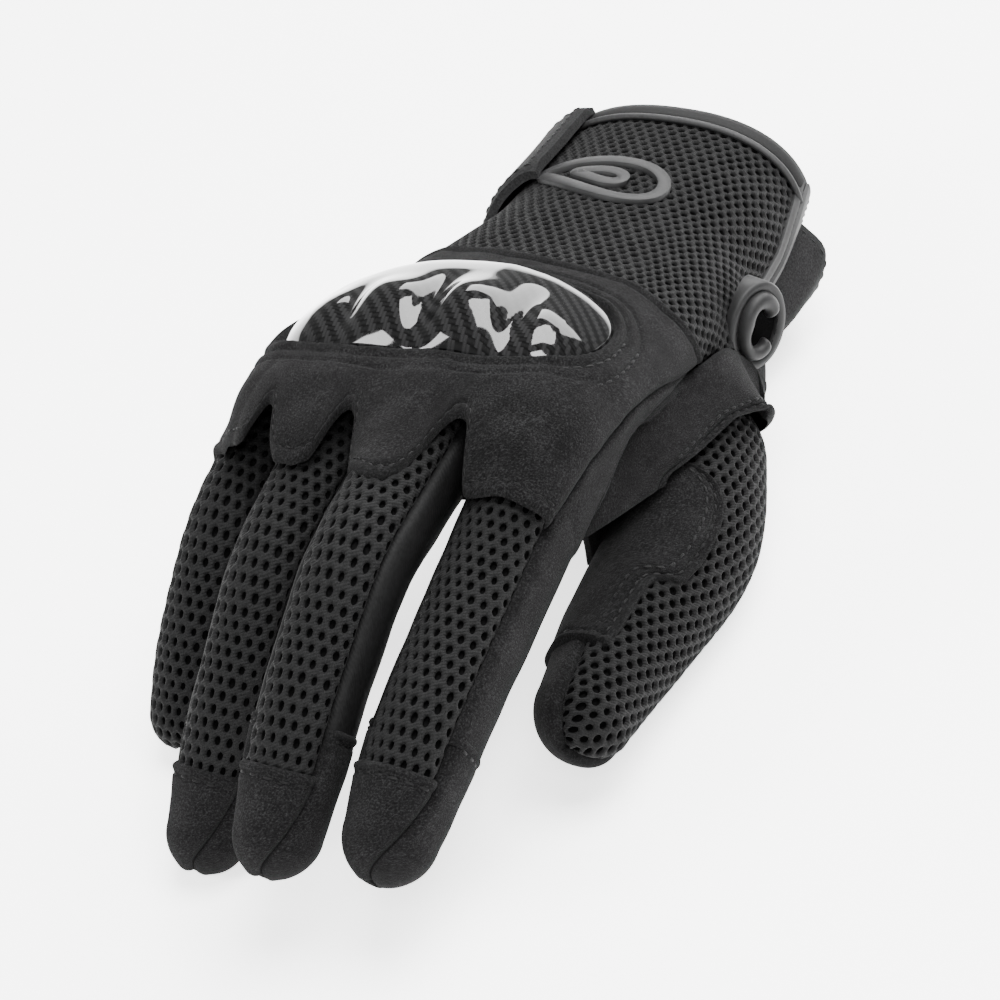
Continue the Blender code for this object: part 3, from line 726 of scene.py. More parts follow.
def air_mesh(
    name, to_skin, inside, squeeze, edge_drop, holder, window, wall=1.9, gap=0.0, seed=0,
    stretch=(1.0, 1.0), hole_radius=HOLE_RADIUS,
):
    """A panel of knitted mesh with a hole in each cell of a honeycomb, closed underneath.

    to_skin gives skin points for a, b and a level. inside says which cells are kept, squeeze
    moves a, b in so that the edge is even, and edge_drop lowers the skin near the edge.
    """
    row_step, pitch = CELL_PITCH * math.sqrt(3) / 2 * stretch[0], CELL_PITCH * stretch[1]
    (a0, a1), (b0, b1) = window
    centres = []
    for row in range(int(a0 / row_step) - 1, int(a1 / row_step) + 2):
        for column in range(int(b0 / pitch) - 1, int(b1 / pitch) + 2):
            centres.append((row * row_step, (column + 0.5 * (row % 2)) * pitch))
    centres = np.array(centres)
    centres = centres[inside(centres[:, 0], centres[:, 1])]
    degrees = np.radians(np.arange(12) * 30.0)
    corner = np.where(np.arange(12) % 2 == 1, CELL_PITCH / math.sqrt(3), CELL_PITCH / 2)
    border = np.stack([np.sin(degrees), np.cos(degrees)], axis=1)
    hexagon = border * corner[:, None] * np.array(stretch)
    outline = centres[:, None, :] + hexagon[None]
    keys = np.round(outline.reshape(-1, 2) * 50).astype(int)
    _, first, shared = np.unique(keys, axis=0, return_index=True, return_inverse=True)
    shared = shared.reshape(-1, 12)
    rim = outline.reshape(-1, 2)[first]
    flat, levels = [rim], [np.full(len(rim), 0.42)]
    sizes = np.random.default_rng(seed + 5).uniform(0.82, 1.12, len(centres))
    hole = border[None] * hole_radius * sizes[:, None, None]
    hole = hole * np.array([1.1, 0.92]) * np.array(stretch)
    cells = centres[:, None, :]
    for share, level in CELL_RINGS:
        ring = cells + mix(hexagon[None], hole, share)
        flat.append(ring.reshape(-1, 2))
        levels.append(np.full(len(centres) * 12, level))
    flat, levels = np.vstack(flat), np.concatenate(levels)
    a, b = squeeze(flat[:, 0], flat[:, 1])
    drop = edge_drop(a, b)
    top = to_skin(a, b, levels * smooth_step(1 + drop / 2) + drop)
    ra, rb = squeeze(rim[:, 0], rim[:, 1])
    under = to_skin(ra, rb, edge_drop(ra, rb) - wall)
    points = np.vstack([resting(top, gap), resting(under, gap + wall)])
    count, base = len(centres), len(rim)
    ring = np.arange(count * 12).reshape(-1, 12)
    rings = [shared] + [base + k * count * 12 + ring for k in range(len(CELL_RINGS))]
    faces, kinds = [], []
    for k, (outer, inner) in enumerate(zip(rings, rings[1:])):
        quads = np.stack(
            [outer, inner, np.roll(inner, -1, axis=1), np.roll(outer, -1, axis=1)], axis=2
        )
        faces += quads.reshape(-1, 4).tolist()
        kinds += [1 if k == len(rings) - 2 else 0] * (count * 12)
    faces += rings[-1][:, ::-1].tolist()
    faces += (shared + len(top)).tolist()
    kinds += [1] * (2 * count)
    edges = {}
    for cell in shared:
        for p, q in zip(cell, np.roll(cell, -1)):
            edges[(int(p), int(q))] = True
    for p, q in edges:
        if (q, p) not in edges:
            faces.append([p, q, q + len(top), p + len(top)])
            kinds.append(0)
    cloth = np.concatenate([np.column_stack([a, b, levels]), np.column_stack([ra, rb, 0 * ra])])
    piece = new_piece(name, points, faces, ["air_mesh", "lining"], kinds, cloth, sharp=60)
    return attach(piece, holder)


# ---------------------------------------------------------------- materials


class Nodes:
    """A Principled material with its texture nodes. Places on the fabric are in millimetres."""

    def __init__(self, name, **values):
        self.material = bpy.data.materials.new(name)
        self.material.use_nodes = True
        self.tree = self.material.node_tree
        self.shader = self.tree.nodes["Principled BSDF"]
        for socket, value in values.items():
            self.shader.inputs[socket.replace("_", " ")].default_value = value
        self.place = self.node("ShaderNodeAttribute", attribute_name="cloth").outputs["Vector"]

    def node(self, kind, **settings):
        made = self.tree.nodes.new(kind)
        for key, value in settings.items():
            setattr(made, key, value)
        return made

    def link(self, value, socket):
        if isinstance(value, bpy.types.NodeSocket):
            self.tree.links.new(value, socket)
        else:
            socket.default_value = value

    def math(self, operation, a, b=0.0, c=0.0):
        made = self.node("ShaderNodeMath", operation=operation)
        for value, socket in zip((a, b, c), made.inputs):
            self.link(value, socket)
        return made.outputs[0]

    def noise(self, scale, detail=2.0, roughness=0.5, stretch=(1, 1, 1)):
        mapping = self.node("ShaderNodeMapping")
        mapping.inputs["Scale"].default_value = stretch
        self.link(self.place, mapping.inputs["Vector"])
        made = self.node("ShaderNodeTexNoise")
        self.link(mapping.outputs[0], made.inputs["Vector"])
        made.inputs["Scale"].default_value = scale
        made.inputs["Detail"].default_value = detail
        made.inputs["Roughness"].default_value = roughness
        return made.outputs["Fac"]

    def along(self):
        split = self.node("ShaderNodeSeparateXYZ")
        self.link(self.place, split.inputs[0])
        return split.outputs[0], split.outputs[1]

    def colours(self, value, stops):
        ramp = self.node("ShaderNodeValToRGB")
        self.link(value, ramp.inputs[0])
        elements = ramp.color_ramp.elements
        while len(elements) < len(stops):
            elements.new(0.5)
        for element, (place, grey) in zip(elements, stops):
            element.position = place
            element.color = (grey, grey, grey * 1.02, 1)
        return ramp.outputs[0]

    def surface(self, colour=None, roughness=None, height=None, strength=0.5, distance=0.0001):
        if colour is not None:
            self.link(colour, self.shader.inputs["Base Color"])
        if roughness is not None:
            self.link(roughness, self.shader.inputs["Roughness"])
        if height is not None:
            relief = self.node("ShaderNodeBump")
            relief.inputs["Strength"].default_value = strength
            relief.inputs["Distance"].default_value = distance
            self.link(height, relief.inputs["Height"])
            self.link(relief.outputs[0], self.shader.inputs["Normal"])
        return self.material


def suede():
    m = Nodes(
        "suede", Roughness=0.95, Specular_IOR_Level=0.04, Sheen_Weight=0.012, Sheen_Roughness=0.5
    )
    fibres = m.noise(2.5, 4, 0.85)
    nap = m.noise(0.16, 3, 0.6)
    blend = m.math("MULTIPLY_ADD", fibres, 0.86, m.math("MULTIPLY", nap, 0.14))
    colour = m.colours(blend, ((0.35, 0.001), (0.50, 0.0050), (0.65, 0.020)))
    return m.surface(colour, height=fibres, strength=0.9, distance=0.0003)


def knit(name, dark, light):
    m = Nodes(name, Roughness=0.75, Specular_IOR_Level=0.08, Sheen_Weight=0.01)
    yarn = m.noise(2.6, 3, 0.75, stretch=(1.0, 1.7, 1.0))
    u, v = m.along()
    twist = m.math("SINE", m.math("MULTIPLY_ADD", u, 9.0, m.math("MULTIPLY", v, 5.0)))
    height = m.math("MULTIPLY_ADD", twist, 0.30, yarn)
    colour = m.colours(yarn, ((0.30, dark), (0.70, light)))
    return m.surface(colour, height=height, strength=0.7, distance=0.0002)


def stretch_twill():
    m = Nodes("stretch", Roughness=0.65, Specular_IOR_Level=0.08, Sheen_Weight=0.0)
    u, v = m.along()
    rib = m.math("SINE", m.math("MULTIPLY_ADD", u, 6.5, m.math("MULTIPLY", v, 6.5)))
    grain = m.noise(1.4, 2, 0.6)
    colour = m.colours(grain, ((0.3, 0.002), (0.7, 0.005)))
    height = m.math("MULTIPLY_ADD", grain, 0.5, m.math("MULTIPLY", rib, 0.5))
    return m.surface(colour, height=height, strength=0.22, distance=0.00012)


def carbon():
    """Twill carbon weave under a clear coat: each tow passes over two and under two."""
    m = Nodes(
        "carbon", Roughness=0.34, Metallic=0.0, Specular_IOR_Level=0.0, Coat_Weight=1.0,
        Coat_Roughness=0.07, Coat_IOR=1.46,
    )
    u, v = m.along()
    tow = 0.8
    across, down = m.math("DIVIDE", u, tow), m.math("DIVIDE", v, tow)
    cells = m.math("ADD", m.math("FLOOR", across), m.math("FLOOR", down))
    over = m.math("LESS_THAN", m.math("FLOORED_MODULO", cells, 4.0), 1.5)
    warp = m.math("ABSOLUTE", m.math("SINE", m.math("MULTIPLY", across, math.pi)))
    weft = m.math("ABSOLUTE", m.math("SINE", m.math("MULTIPLY", down, math.pi)))
    height = m.math("ADD", m.math("MULTIPLY", over, warp),
                    m.math("MULTIPLY", m.math("SUBTRACT", 1.0, over), weft))
    fibre = m.noise(3.0, 2, 0.6)
    shade = m.math("MULTIPLY_ADD", over, 0.5, m.math("MULTIPLY", height, 0.3))
    shade = m.math("MULTIPLY_ADD", fibre, 0.2, shade)
    colour = m.colours(shade, ((0.15, 0.0005), (0.95, 0.013)))
    return m.surface(colour, height=height, strength=0.12, distance=0.0002)


def rubber():
    m = Nodes("rubber", Roughness=0.5, Specular_IOR_Level=0.2)
    grain = m.noise(1.6, 3, 0.6)
    wear = m.noise(0.25, 2, 0.5)
    colour = m.colours(wear, ((0.3, 0.008), (0.7, 0.013)))
    rough = m.math("MULTIPLY_ADD", grain, 0.2, 0.42)
    return m.surface(colour, rough, grain, strength=0.15, distance=0.0001)


def grained(name, roughness, specular, noise, stops, strength, distance=0.0001):
    """A material whose colour and relief come from one noise: its scale, detail, roughness."""
    m = Nodes(name, Roughness=roughness, Specular_IOR_Level=specular)
    grain = m.noise(*noise)
    return m.surface(m.colours(grain, stops), height=grain, strength=strength, distance=distance)


MATERIALS = {
    "suede": suede(),
    "air_mesh": knit("air_mesh", 0.0008, 0.011),
    "lining": grained(
        "lining", 0.95, 0.03, (2.2, 2, 0.6), ((0.3, 0.0015), (0.7, 0.004)), 0.4
    ),
    "stretch": stretch_twill(),
    "carbon": carbon(),
    "rubber": rubber(),
    "piping": grained(
        "piping", 0.55, 0.2, (1.2, 3, 0.6), ((0.3, 0.010), (0.7, 0.018)), 0.2
    ),
    "neoprene": grained(
        "neoprene", 0.7, 0.12, (1.6, 3, 0.65), ((0.3, 0.0025), (0.7, 0.006)), 0.35
    ),
    "thread": grained(
        "thread", 0.6, 0.12, (3.0, 2, 0.6), ((0.3, 0.001), (0.7, 0.006)), 0.4
    ),
    "hooks": grained(
        "hooks", 0.8, 0.1, (2.0, 1, 0.5), ((0.4, 0.004), (0.6, 0.025)), 1.0, distance=0.0005
    ),
    "strap": grained(
        "strap", 0.8, 0.06, (2.2, 3, 0.75), ((0.35, 0.003), (0.65, 0.016)), 0.6
    ),
}

# ---------------------------------------------------------------- camera, floor and lights


def place_camera():
    azimuth, elevation = math.radians(CAMERA_AZIMUTH), math.radians(CAMERA_ELEVATION)
    back = np.array(
        (
            math.cos(elevation) * math.sin(azimuth),
            -math.cos(elevation) * math.cos(azimuth),
            math.sin(elevation),
        )
    )
    level_right = np.array((math.cos(azimuth), math.sin(azimuth), 0))
    level_up = np.cross(back, level_right)
    roll = math.radians(CAMERA_ROLL)
    right = level_right * math.cos(roll) + level_up * math.sin(roll)
    up = np.cross(back, right)
    data = bpy.data.cameras.new("camera")
    data.lens = CAMERA_LENS
    data.sensor_width = 36
    camera = bpy.data.objects.new("camera", data)
    turn = TURN @ np.stack([right, up, back], axis=1)
    matrix = Matrix(turn.tolist()).to_4x4()
    matrix.translation = Vector(to_world(CAMERA_AT))
    camera.matrix_world = matrix
    bpy.context.scene.collection.objects.link(camera)
    bpy.context.scene.camera = camera


def make_floor():
    bpy.ops.mesh.primitive_plane_add(size=8, location=(0, 0, -0.0002))
    floor = bpy.context.object
    floor.name = "floor"
    material = bpy.data.materials.new("floor")
    material.use_nodes = True
    shader = material.node_tree.nodes["Principled BSDF"]
    shader.inputs["Base Color"].default_value = (0.95, 0.95, 0.95, 1)
    shader.inputs["Roughness"].default_value = 0.9
    shader.inputs["Emission Color"].default_value = (1, 1, 1, 1)
    shader.inputs["Emission Strength"].default_value = 2.2
    floor.data.materials.append(material)


def softbox(name, place, size, power, target=(0, 0, 0.04)):
    data = bpy.data.lights.new(name, "AREA")
    data.shape = "RECTANGLE"
    data.size, data.size_y = size
    data.energy = power
    light = bpy.data.objects.new(name, data)
    light.location = place
    aim = Vector(target) - Vector(place)
    light.rotation_euler = aim.to_track_quat("-Z", "Y").to_euler()
    bpy.context.scene.collection.objects.link(light)


def light_studio():
    world = bpy.data.worlds.new("studio")
    world.use_nodes = True
    world.node_tree.nodes["Background"].inputs["Color"].default_value = (1, 1, 1, 1)
    world.node_tree.nodes["Background"].inputs["Strength"].default_value = 0.35
    bpy.context.scene.world = world
    softbox("overhead", (0.25, 0.15, 1.2), (0.8, 0.8), 48)
    softbox("behind", (0.1, 1.0, 0.75), (1.5, 0.6), 40)
    softbox("front_left", (-0.75, -0.75, 0.7), (0.35, 0.55), 15)
    softbox("front_right", (0.5, -0.75, 1.0), (0.35, 0.35), 12)


# ---------------------------------------------------------------- fingers

# Where each finger's skin bends at the knuckle, along its middle line, and where its two skins meet
KNUCKLE_BENDS = {"index": (16, 34), "middle": (13, 36), "ring": (20, 36), "pinky": (21, 30)}
MIDDLE_BEND = 8.0  # the skin bends this far each side of the middle joint
SKIN_START = 8.0
WRAP_LEAD = 9.0  # the suede round the tip starts this far before the cap


def finger_bodies(name, far):
    """The two bodies that a finger's skin bends between, and the points where the bend is."""
    tube = TUBES[name]
    if far:
        bend = (tube.stop_middle - MIDDLE_BEND, tube.stop_middle + MIDDLE_BEND)
        bodies = (name + "_base", name + "_tip")
    else:
        bend = KNUCKLE_BENDS[name]
        bodies = ("hand", name + "_base")
    start, end = (to_world(tube.on_line(np.array(float(s)))) for s in bend)
    return (*bodies, start, end)


def finger_split(name):
    return (KNUCKLE_BENDS[name][1] + TUBES[name].stop_middle - MIDDLE_BEND) / 2


def mesh_sides(spread, reach, drop):
    """How a tube's mesh is squeezed in at its two side seams, and how it dips into them."""
    margin = 0.6

    def squeeze(a, b):
        near = spread * reach(a) - margin
        over = np.maximum(np.abs(b) - near, 0)
        narrowed = np.minimum(np.abs(b), near) + margin * (1 - np.exp(-over / margin))
        return a, np.sign(b) * narrowed

    def edge_drop(a, b):
        inset = np.maximum(spread * reach(a) - np.abs(b), 0)
        return -drop * np.exp(-((inset / 1.1) ** 1.4))

    return squeeze, edge_drop


def finger_mesh(piece, tube, back, s_from, s_to, holder, radius):
    middle = (back[0] + back[1]) / 2
    spread = math.radians(back[1] - back[0]) / 2
    half = spread * radius

    def reach(a):
        """The tube's radius, which closes in over the dome."""
        swing = np.clip((a - tube.total) / tube.dome, 0, math.pi / 2)
        return np.maximum(radius * np.cos(swing), 1.5)

    def to_skin(a, b, level):
        return tube.point(a, middle - np.degrees(b / reach(a)), level)

    def inside(a, b):
        return (a >= s_from) & (a < s_to) & (np.abs(b) < spread * reach(a) + 0.3)

    squeeze, edge_drop = mesh_sides(spread, reach, 1.3)
    return air_mesh(
        piece, to_skin, inside, squeeze, edge_drop, holder,
        window=((s_from - 4, s_to + 4), (-half - 3, half + 3)), stretch=(1.1, 0.92),
        hole_radius=0.74,
    )


def strip(s_from, s_to, first, last, step=0.7):
    """s and angle grids between two edges, each given in degrees at a place along the finger."""
    rows = max(int((s_to - s_from) / step), 4)
    s = np.linspace(s_from, s_to, rows)
    a, b = np.broadcast_to(first, s.shape), np.broadcast_to(last, s.shape)
    columns = max(int(np.radians(np.abs(b - a)).max() * 11 / step), 6)
    return rows_between(s, a, b, np.linspace(0, 1, columns))


def make_finger_skin(name):
    tube = TUBES[name]
    split = finger_split(name)
    end = tube.total + tube.dome * math.pi / 2 - 0.02
    has_cap = name != "pinky"
    cap_start = end - CAP_LENGTH - 2
    wrap_start = cap_start - WRAP_LEAD
    radius = float(tube.half_width(0.4)) * 1.02
    back_edges = BACK_EDGES if has_cap else (BACK_EDGES[0], 165)
    for far in (False, True):
        s_from, s_to = (split, end) if far else (SKIN_START, split)
        holder = finger_bodies(name, far)
        prefix = name + ("_tip" if far else "_base")
        back_end = (cap_start + 1.0 if has_cap else end - 1.2) if far else split
        mesh = finger_mesh(prefix + "_mesh", tube, back_edges, s_from, back_end, holder, radius)
        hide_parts(prefix + "_back")
        side_end = min(s_to, wrap_start + 2)
        for side, edges in (
            ("thumb_side", (PALM_EDGES[1] - 360, back_edges[0])),
            ("little_side", (back_edges[1], PALM_EDGES[0])),
        ):
            if name == "pinky" and side == "little_side":
                continue
            plain = name == "index" and side == "thumb_side"
            u, v = strip(s_from, side_end, edges[0], edges[1])
            seams = {"left": "seam", "right": "seam"}
            panel = Panel(tube, u, v, 0.15 if plain else -0.2, seams, 0.15, seed=3)
            kind = "suede" if plain else "stretch"
            piece = panel.build(prefix + "_" + side + "_skin", [kind, "lining"], holder, kind)
            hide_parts(prefix + "_" + side)
        first, last = PALM_EDGES if has_cap else (back_edges[1], PALM_EDGES[1])
        u, v = strip(s_from, side_end, first, last)
        panel = Panel(tube, u, v, 0.1, {"left": "seam", "right": "seam"}, 0.2, seed=4)
        palm = panel.build(prefix + "_palm_skin", ["suede", "lining"], holder, "suede")
        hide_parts(prefix + "_palm")
    make_fingertip(name, tube, cap_start, wrap_start, end, back_edges, has_cap)


def make_fingertip(name, tube, cap_start, wrap_start, end, back_edges, has_cap):
    """The suede cap over the back of the tip, and the palm's suede that wraps up to meet it."""
    holder = finger_bodies(name, True)

    def edges(s):
        share = np.clip((s - cap_start) / (end - cap_start), 0, 1)
        if not has_cap:
            return back_edges[0] + 30 * share**2, back_edges[1] - 10 * share**2
        return back_edges[0] - 2 + 78 * share**1.8, back_edges[1] + 4 + 4 * share

    if has_cap:
        s = np.linspace(cap_start, end, 46)
        first, last = edges(s)
        u, v = rows_between(s, first, last, np.linspace(0, 1, 42))
        panel = Panel(
            tube, u, v, 0.4, {"start": "cut", "left": "seam", "right": "seam"}, 0.15, seed=6,
            shape=lambda s, _degrees, _points: 0.5 * smooth_step(1 - (s - cap_start) / 7),
        )
        cap = panel.build(name + "_tip_cap_skin", ["suede", "lining"], holder, "suede")
        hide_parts(name + "_tip_cap")
        stitches(name + "_cap_stitches", [panel.line("start", 2.3, 0.05, 0.95)], holder)
    s = np.linspace(wrap_start, end, 60)
    first, last = edges(s)
    u, v = rows_between(s, last, first + 360, np.linspace(0, 1, 92))
    panel = Panel(
        tube, u, v, 0.1,
        {"start": "cut", "left": "seam", "right": "seam"}, 0.18, seed=8,
        shape=lambda s, _degrees, _points: 0.15 * smooth_step(1 - (s - wrap_start) / 7),
    )
    panel.build(name + "_tip_wrap", ["suede", "lining"], holder, "suede", wall=1.0)
    stitches(name + "_wrap_stitches", [panel.line("start", 2.3, 0.03, 0.97)], holder)


# ---------------------------------------------------------------- the back of the hand

# The knuckle panel's edges, as places round the hand and the y there
CUFF_EDGE = (
    (-62, 55), (-45, 54), (-30, 52), (-18, 49), (-4, 44), (9, 41), (24, 38), (33, 34.5), (40, 35),
    (48, 39),
)
TAB_EDGE = (
    (-62, -7), (-54, -9.5), (-50, -12), (-46, -14.5), (-42, -18), (-38.5, -22.5), (-36.5, -22.5),
    (-35, -19), (-33.6, -17), (-32, -18), (-30, -24), (-27.5, -27), (-23, -28), (-19.6, -27),
    (-17, -23), (-15.2, -20), (-13.6, -19.5), (-11.9, -22), (-10.2, -29), (-8, -33), (-4, -36.5),
    (-1, -38), (2, -37.5), (4.2, -34), (5.8, -27), (7.4, -22), (9.4, -20), (11.4, -20.4),
    (12.6, -23), (13.4, -28), (15, -28.8), (20, -29), (26, -28.8), (31, -27.5), (40, -26.5),
    (50, -26),
)
# Where the panel hands over to the tabs
TAB_START = ((-62, 1), (-48, 0), (-36, -3), (-29, -10), (-24, -12), (50, -12))
TAB_BORDERS = {
    "pinky": (-56, -32.8), "ring": (-32.8, -13.6), "middle": (-13.6, 10.4), "index": (10.4, 50),
}
LITTLE_SIDE_SEAM = -60.0
# The seam on the thumb side, which runs on down the index finger: y, and how far round the hand
PANEL_SEAM = (
    (-30, 31), (-26, 31.2), (-14, 32.8), (-8, 35.5), (-2, 39), (10, 42), (24, 45.8), (36, 47.2),
    (48, 48),
)
SIDE_SEAM = 48.0  # a second seam beyond it, where the gusset starts


def guard_share(x, y):
    """0 at the guard's middle, 1 on its outline."""
    turn = math.radians(GUARD_TURN)
    dx, dy = x - GUARD_CENTRE[0], y - GUARD_CENTRE[1]
    u = dx * math.cos(turn) + dy * math.sin(turn)
    v = dy * math.cos(turn) - dx * math.sin(turn)
    total = np.abs(u / GUARD_HALF[0]) ** GUARD_POWER + np.abs(v / GUARD_HALF[1]) ** GUARD_POWER
    return total ** (1 / GUARD_POWER), np.hypot(u, v)


def guard_place(u, v):
    """x and y on the hand of a place given along the guard's own two axes."""
    turn = math.radians(GUARD_TURN)
    x = GUARD_CENTRE[0] + u * math.cos(turn) - v * math.sin(turn)
    y = GUARD_CENTRE[1] + u * math.sin(turn) + v * math.cos(turn)
    return x, y


def guard_distance(x, y):
    """About how far a point lies outside the guard's outline."""
    share, reach = guard_share(x, y)
    return reach * (1 - 1 / np.maximum(share, 0.05))


def knuckle_shape(y, around, _points):
    """The suede's turned edge round the guard, its stitch grooves, and the knuckles under it."""
    d = guard_distance(around, y)
    level = -2.2 * smooth_step((0.6 - d) / 0.9) + 0.45 * bump(d, 1.3, 0.9)
    level = level - 0.45 * bump(d, 2.9, 0.5) - 0.45 * bump(d, 6.0, 0.5)
    level = level + 0.9 * smooth_step((-4 - y) / 10)
    for x, row in ((-37, -12), (-20, -12), (1, -16), (21, -16)):
        level = level + 0.5 * bump(around, x, 6) * bump(y, row, 9)
    return level


def table_curve(rows, x):
    """A smoothed curve through the rows."""
    grid = np.arange(rows[0][0], rows[-1][0] + 0.25, 0.25)
    values = np.interp(grid, *np.array(rows).T)
    window = np.hanning(11)[1:-1] / np.hanning(11).sum()
    values = np.convolve(np.pad(values, 4, mode="edge"), window, mode="valid")
    return np.interp(x, grid, values)


def warped_grid(first, last, left, right, columns, step):
    """y and around grids between two edges given by around and two sides given by y."""
    share = np.linspace(0, 1, columns)
    around = np.linspace(left(0.0), right(0.0), columns)
    down = np.linspace(0, 1, max(int(60 / step), 8))[:, None]
    v = np.repeat(around[None], len(down), axis=0)
    for _ in range(6):
        top, bottom = table_curve(first, v), table_curve(last, v)
        u = top + (bottom - top) * down
        v = left(u) + (right(u) - left(u)) * share
    return u, v


def steady(around):
    """A side that keeps one place round the hand."""
    return lambda y: around + 0 * y


def panel_seam(y):
    return table_curve(PANEL_SEAM, y)


def make_knuckle_panel():
    u, v = warped_grid(CUFF_EDGE, TAB_START, steady(LITTLE_SIDE_SEAM), panel_seam, 175, 0.6)
    panel = Panel(
        DRAPED, u, v, 0.7, {"start": "turned", "left": "seam", "right": "seam"}, 0.3, seed=11,
        shape=knuckle_shape,
    )
    piece = panel.build("knuckle_suede", ["suede", "lining"], "hand", "suede", wall=1.6)
    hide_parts("knuckle_panel", "little_side_panel")
    angles = np.radians(np.linspace(-6, 186, 150))
    rows = []
    for out in (2.9, 6.0):
        power = 2 / GUARD_POWER
        u = signed_power(np.cos(angles), power) * (GUARD_HALF[0] + out)
        v = -signed_power(np.sin(angles), power) * (GUARD_HALF[1] + out)
        x, y = guard_place(u, v)
        surface = DRAPED.point(y, x, 0.5)
        rows.append((surface, unit(DRAPED.point(y, x, 1.5) - surface)))
    stitches("guard_stitches", rows, "hand", pitch=2.6, length=1.8)
    for name in TAB_BORDERS:
        make_tab(name)
    u, v = warped_grid(
        ((40, 44), (50, 44)), ((30, -24), (50, -24)), panel_seam, steady(SIDE_SEAM), 20, 0.6
    )
    edges = {"left": "seam", "right": "seam", "end": "sunk"}
    strip_panel = Panel(DRAPED, u, v, 0.6, edges, 0.25, seed=13)
    strip_panel.build("side_strip", ["suede", "lining"], "hand", "suede", wall=1.6)


def make_tab(name):
    left, right = TAB_BORDERS[name]
    if name == "index":
        u, v = warped_grid(TAB_START, TAB_EDGE, steady(left), panel_seam, 56, 1.6)
        edges = {"end": "cut", "right": "seam"}
    else:
        u, v = warped_grid(TAB_START, TAB_EDGE, steady(left), steady(right), 60, 1.6)
        edges = {"end": "cut"}
    panel = Panel(DRAPED, u, v, 0.7, edges, 0.3, seed=11, shape=knuckle_shape)
    holder = finger_bodies(name, False)
    panel.build(name + "_tab", ["suede", "lining"], holder, "suede", wall=1.0)
    line = panel.line("end", 2.2, 0.04, 0.96)
    stitches(name + "_tab_stitches", [line], holder, pitch=2.3, length=1.5)


# The gusset's upper edge beside the panel's seam, and its lower edge over the thumb's root
GUSSET_TOP = (
    (71, 55), (66, 51.5), (60, 49.5), (54, 48.5), (47, 48), (36, 48), (24, 48), (10, 48), (0, 48),
    (-8, 48.5), (-16, 49.5),
)
GUSSET_LOW_HAND = ((71, 59), (64, 58.5), (57, 57.3), (50, 55.8))
GUSSET_LOW_THUMB = ((26.6, 112), (32.4, 124), (38, 138), (42.1, 152), (44.5, 172), (46, 195))


def resampled(points, count):
    """A smooth line through the points, evenly spaced."""
    stops = line_stops(points)
    fine = np.linspace(0, stops[-1], 200)
    line = on_line(fine, stops, points)
    window = np.hanning(23)[1:-1] / np.hanning(23).sum()
    padded = np.pad(line, ((10, 10), (0, 0)), mode="edge")
    smooth = np.stack([np.convolve(row, window, mode="valid") for row in padded.T], axis=1)
    smooth[0], smooth[-1] = line[0], line[-1]
    return on_line(np.linspace(0, stops[-1], count), fine, smooth)


class FreeSheet(Panel):
    """A panel whose surface is given as points with outward directions, not on a chart."""

    def __init__(self, points, out, edges=None, ripples=0.2, seed=1, level=0.0):
        self.base, self.out = points, out
        self.distances = edge_distances(points)
        self.level = level + np.zeros(points.shape[:2])
        self.add_relief(points, edges, ripples, seed)
        rows, columns = self.level.shape
        self.u, self.v = np.meshgrid(np.arange(rows) * 1.0, np.arange(columns) * 1.0, indexing="ij")
        self.chart = self

    def point(self, u, v, level):
        u, v, level = np.broadcast_arrays(u, v, level)
        base = np.stack([lookup(self.base[..., k], u, v) for k in range(3)], axis=-1)
        out = unit(np.stack([lookup(self.out[..., k], u, v) for k in range(3)], axis=-1))
        return base + out * level[..., None]


def between(first, last, columns):
    """Rows of points from one line to another."""
    share = np.linspace(0, 1, columns)[None, :, None]
    return first[:, None] + (last - first)[:, None] * share


def outward(points, towards):
    """Directions square to a grid of points, on the side that faces towards."""
    along = np.gradient(points, axis=0)
    across = np.gradient(points, axis=1)
    out = unit(np.cross(along, across))
    return out * np.sign((out @ towards).mean())


def make_gusset():
    top = np.array([HAND.point(y, around, 0) for y, around in GUSSET_TOP])
    low = [HAND.point(y, around, -1.6) for y, around in GUSSET_LOW_HAND]
    low += [THUMB.point(s, degrees, 0) for s, degrees in GUSSET_LOW_THUMB]
    top, low = resampled(top, 120), resampled(np.array(low), 120)
    flat = between(np.stack(on_web(top), axis=1), np.stack(on_web(low), axis=1), 40)
    share = np.linspace(0, 1, 40)[None, :, None]
    arch = 4 * share * (1 - share) * 1.4 * unit((1, 0, -0.2))
    near = between(top, low, 40) + arch
    ahead = smooth_step((np.linspace(0, 1, 120) - 0.22) / 0.22)[:, None, None]
    surface = mix(near, WEB.point(flat[..., 0], flat[..., 1], 0), ahead)
    out = outward(surface, WEB_OUT)
    panel = FreeSheet(surface, out, {"left": "seam", "right": "turned"}, 0.3, seed=12, level=0.8)
    piece = panel.build("gusset_suede", ["suede", "lining"], "hand", "suede", wall=1.8)
    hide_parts("thumb_side_gusset")
    lines = [panel.line("right", d, 0.03, 0.8) for d in (2.0, 4.4)]
    stitches("gusset_stitches", lines, "hand", pitch=2.3, length=1.5)


def palm_grid(y, share):
    """Grids over the palm: it starts beside the gusset and ends at the little finger's side."""
    return rows_between(y, np.where(y > 62, 54.0, 57.0), girth(y) + LITTLE_SIDE_SEAM, share)


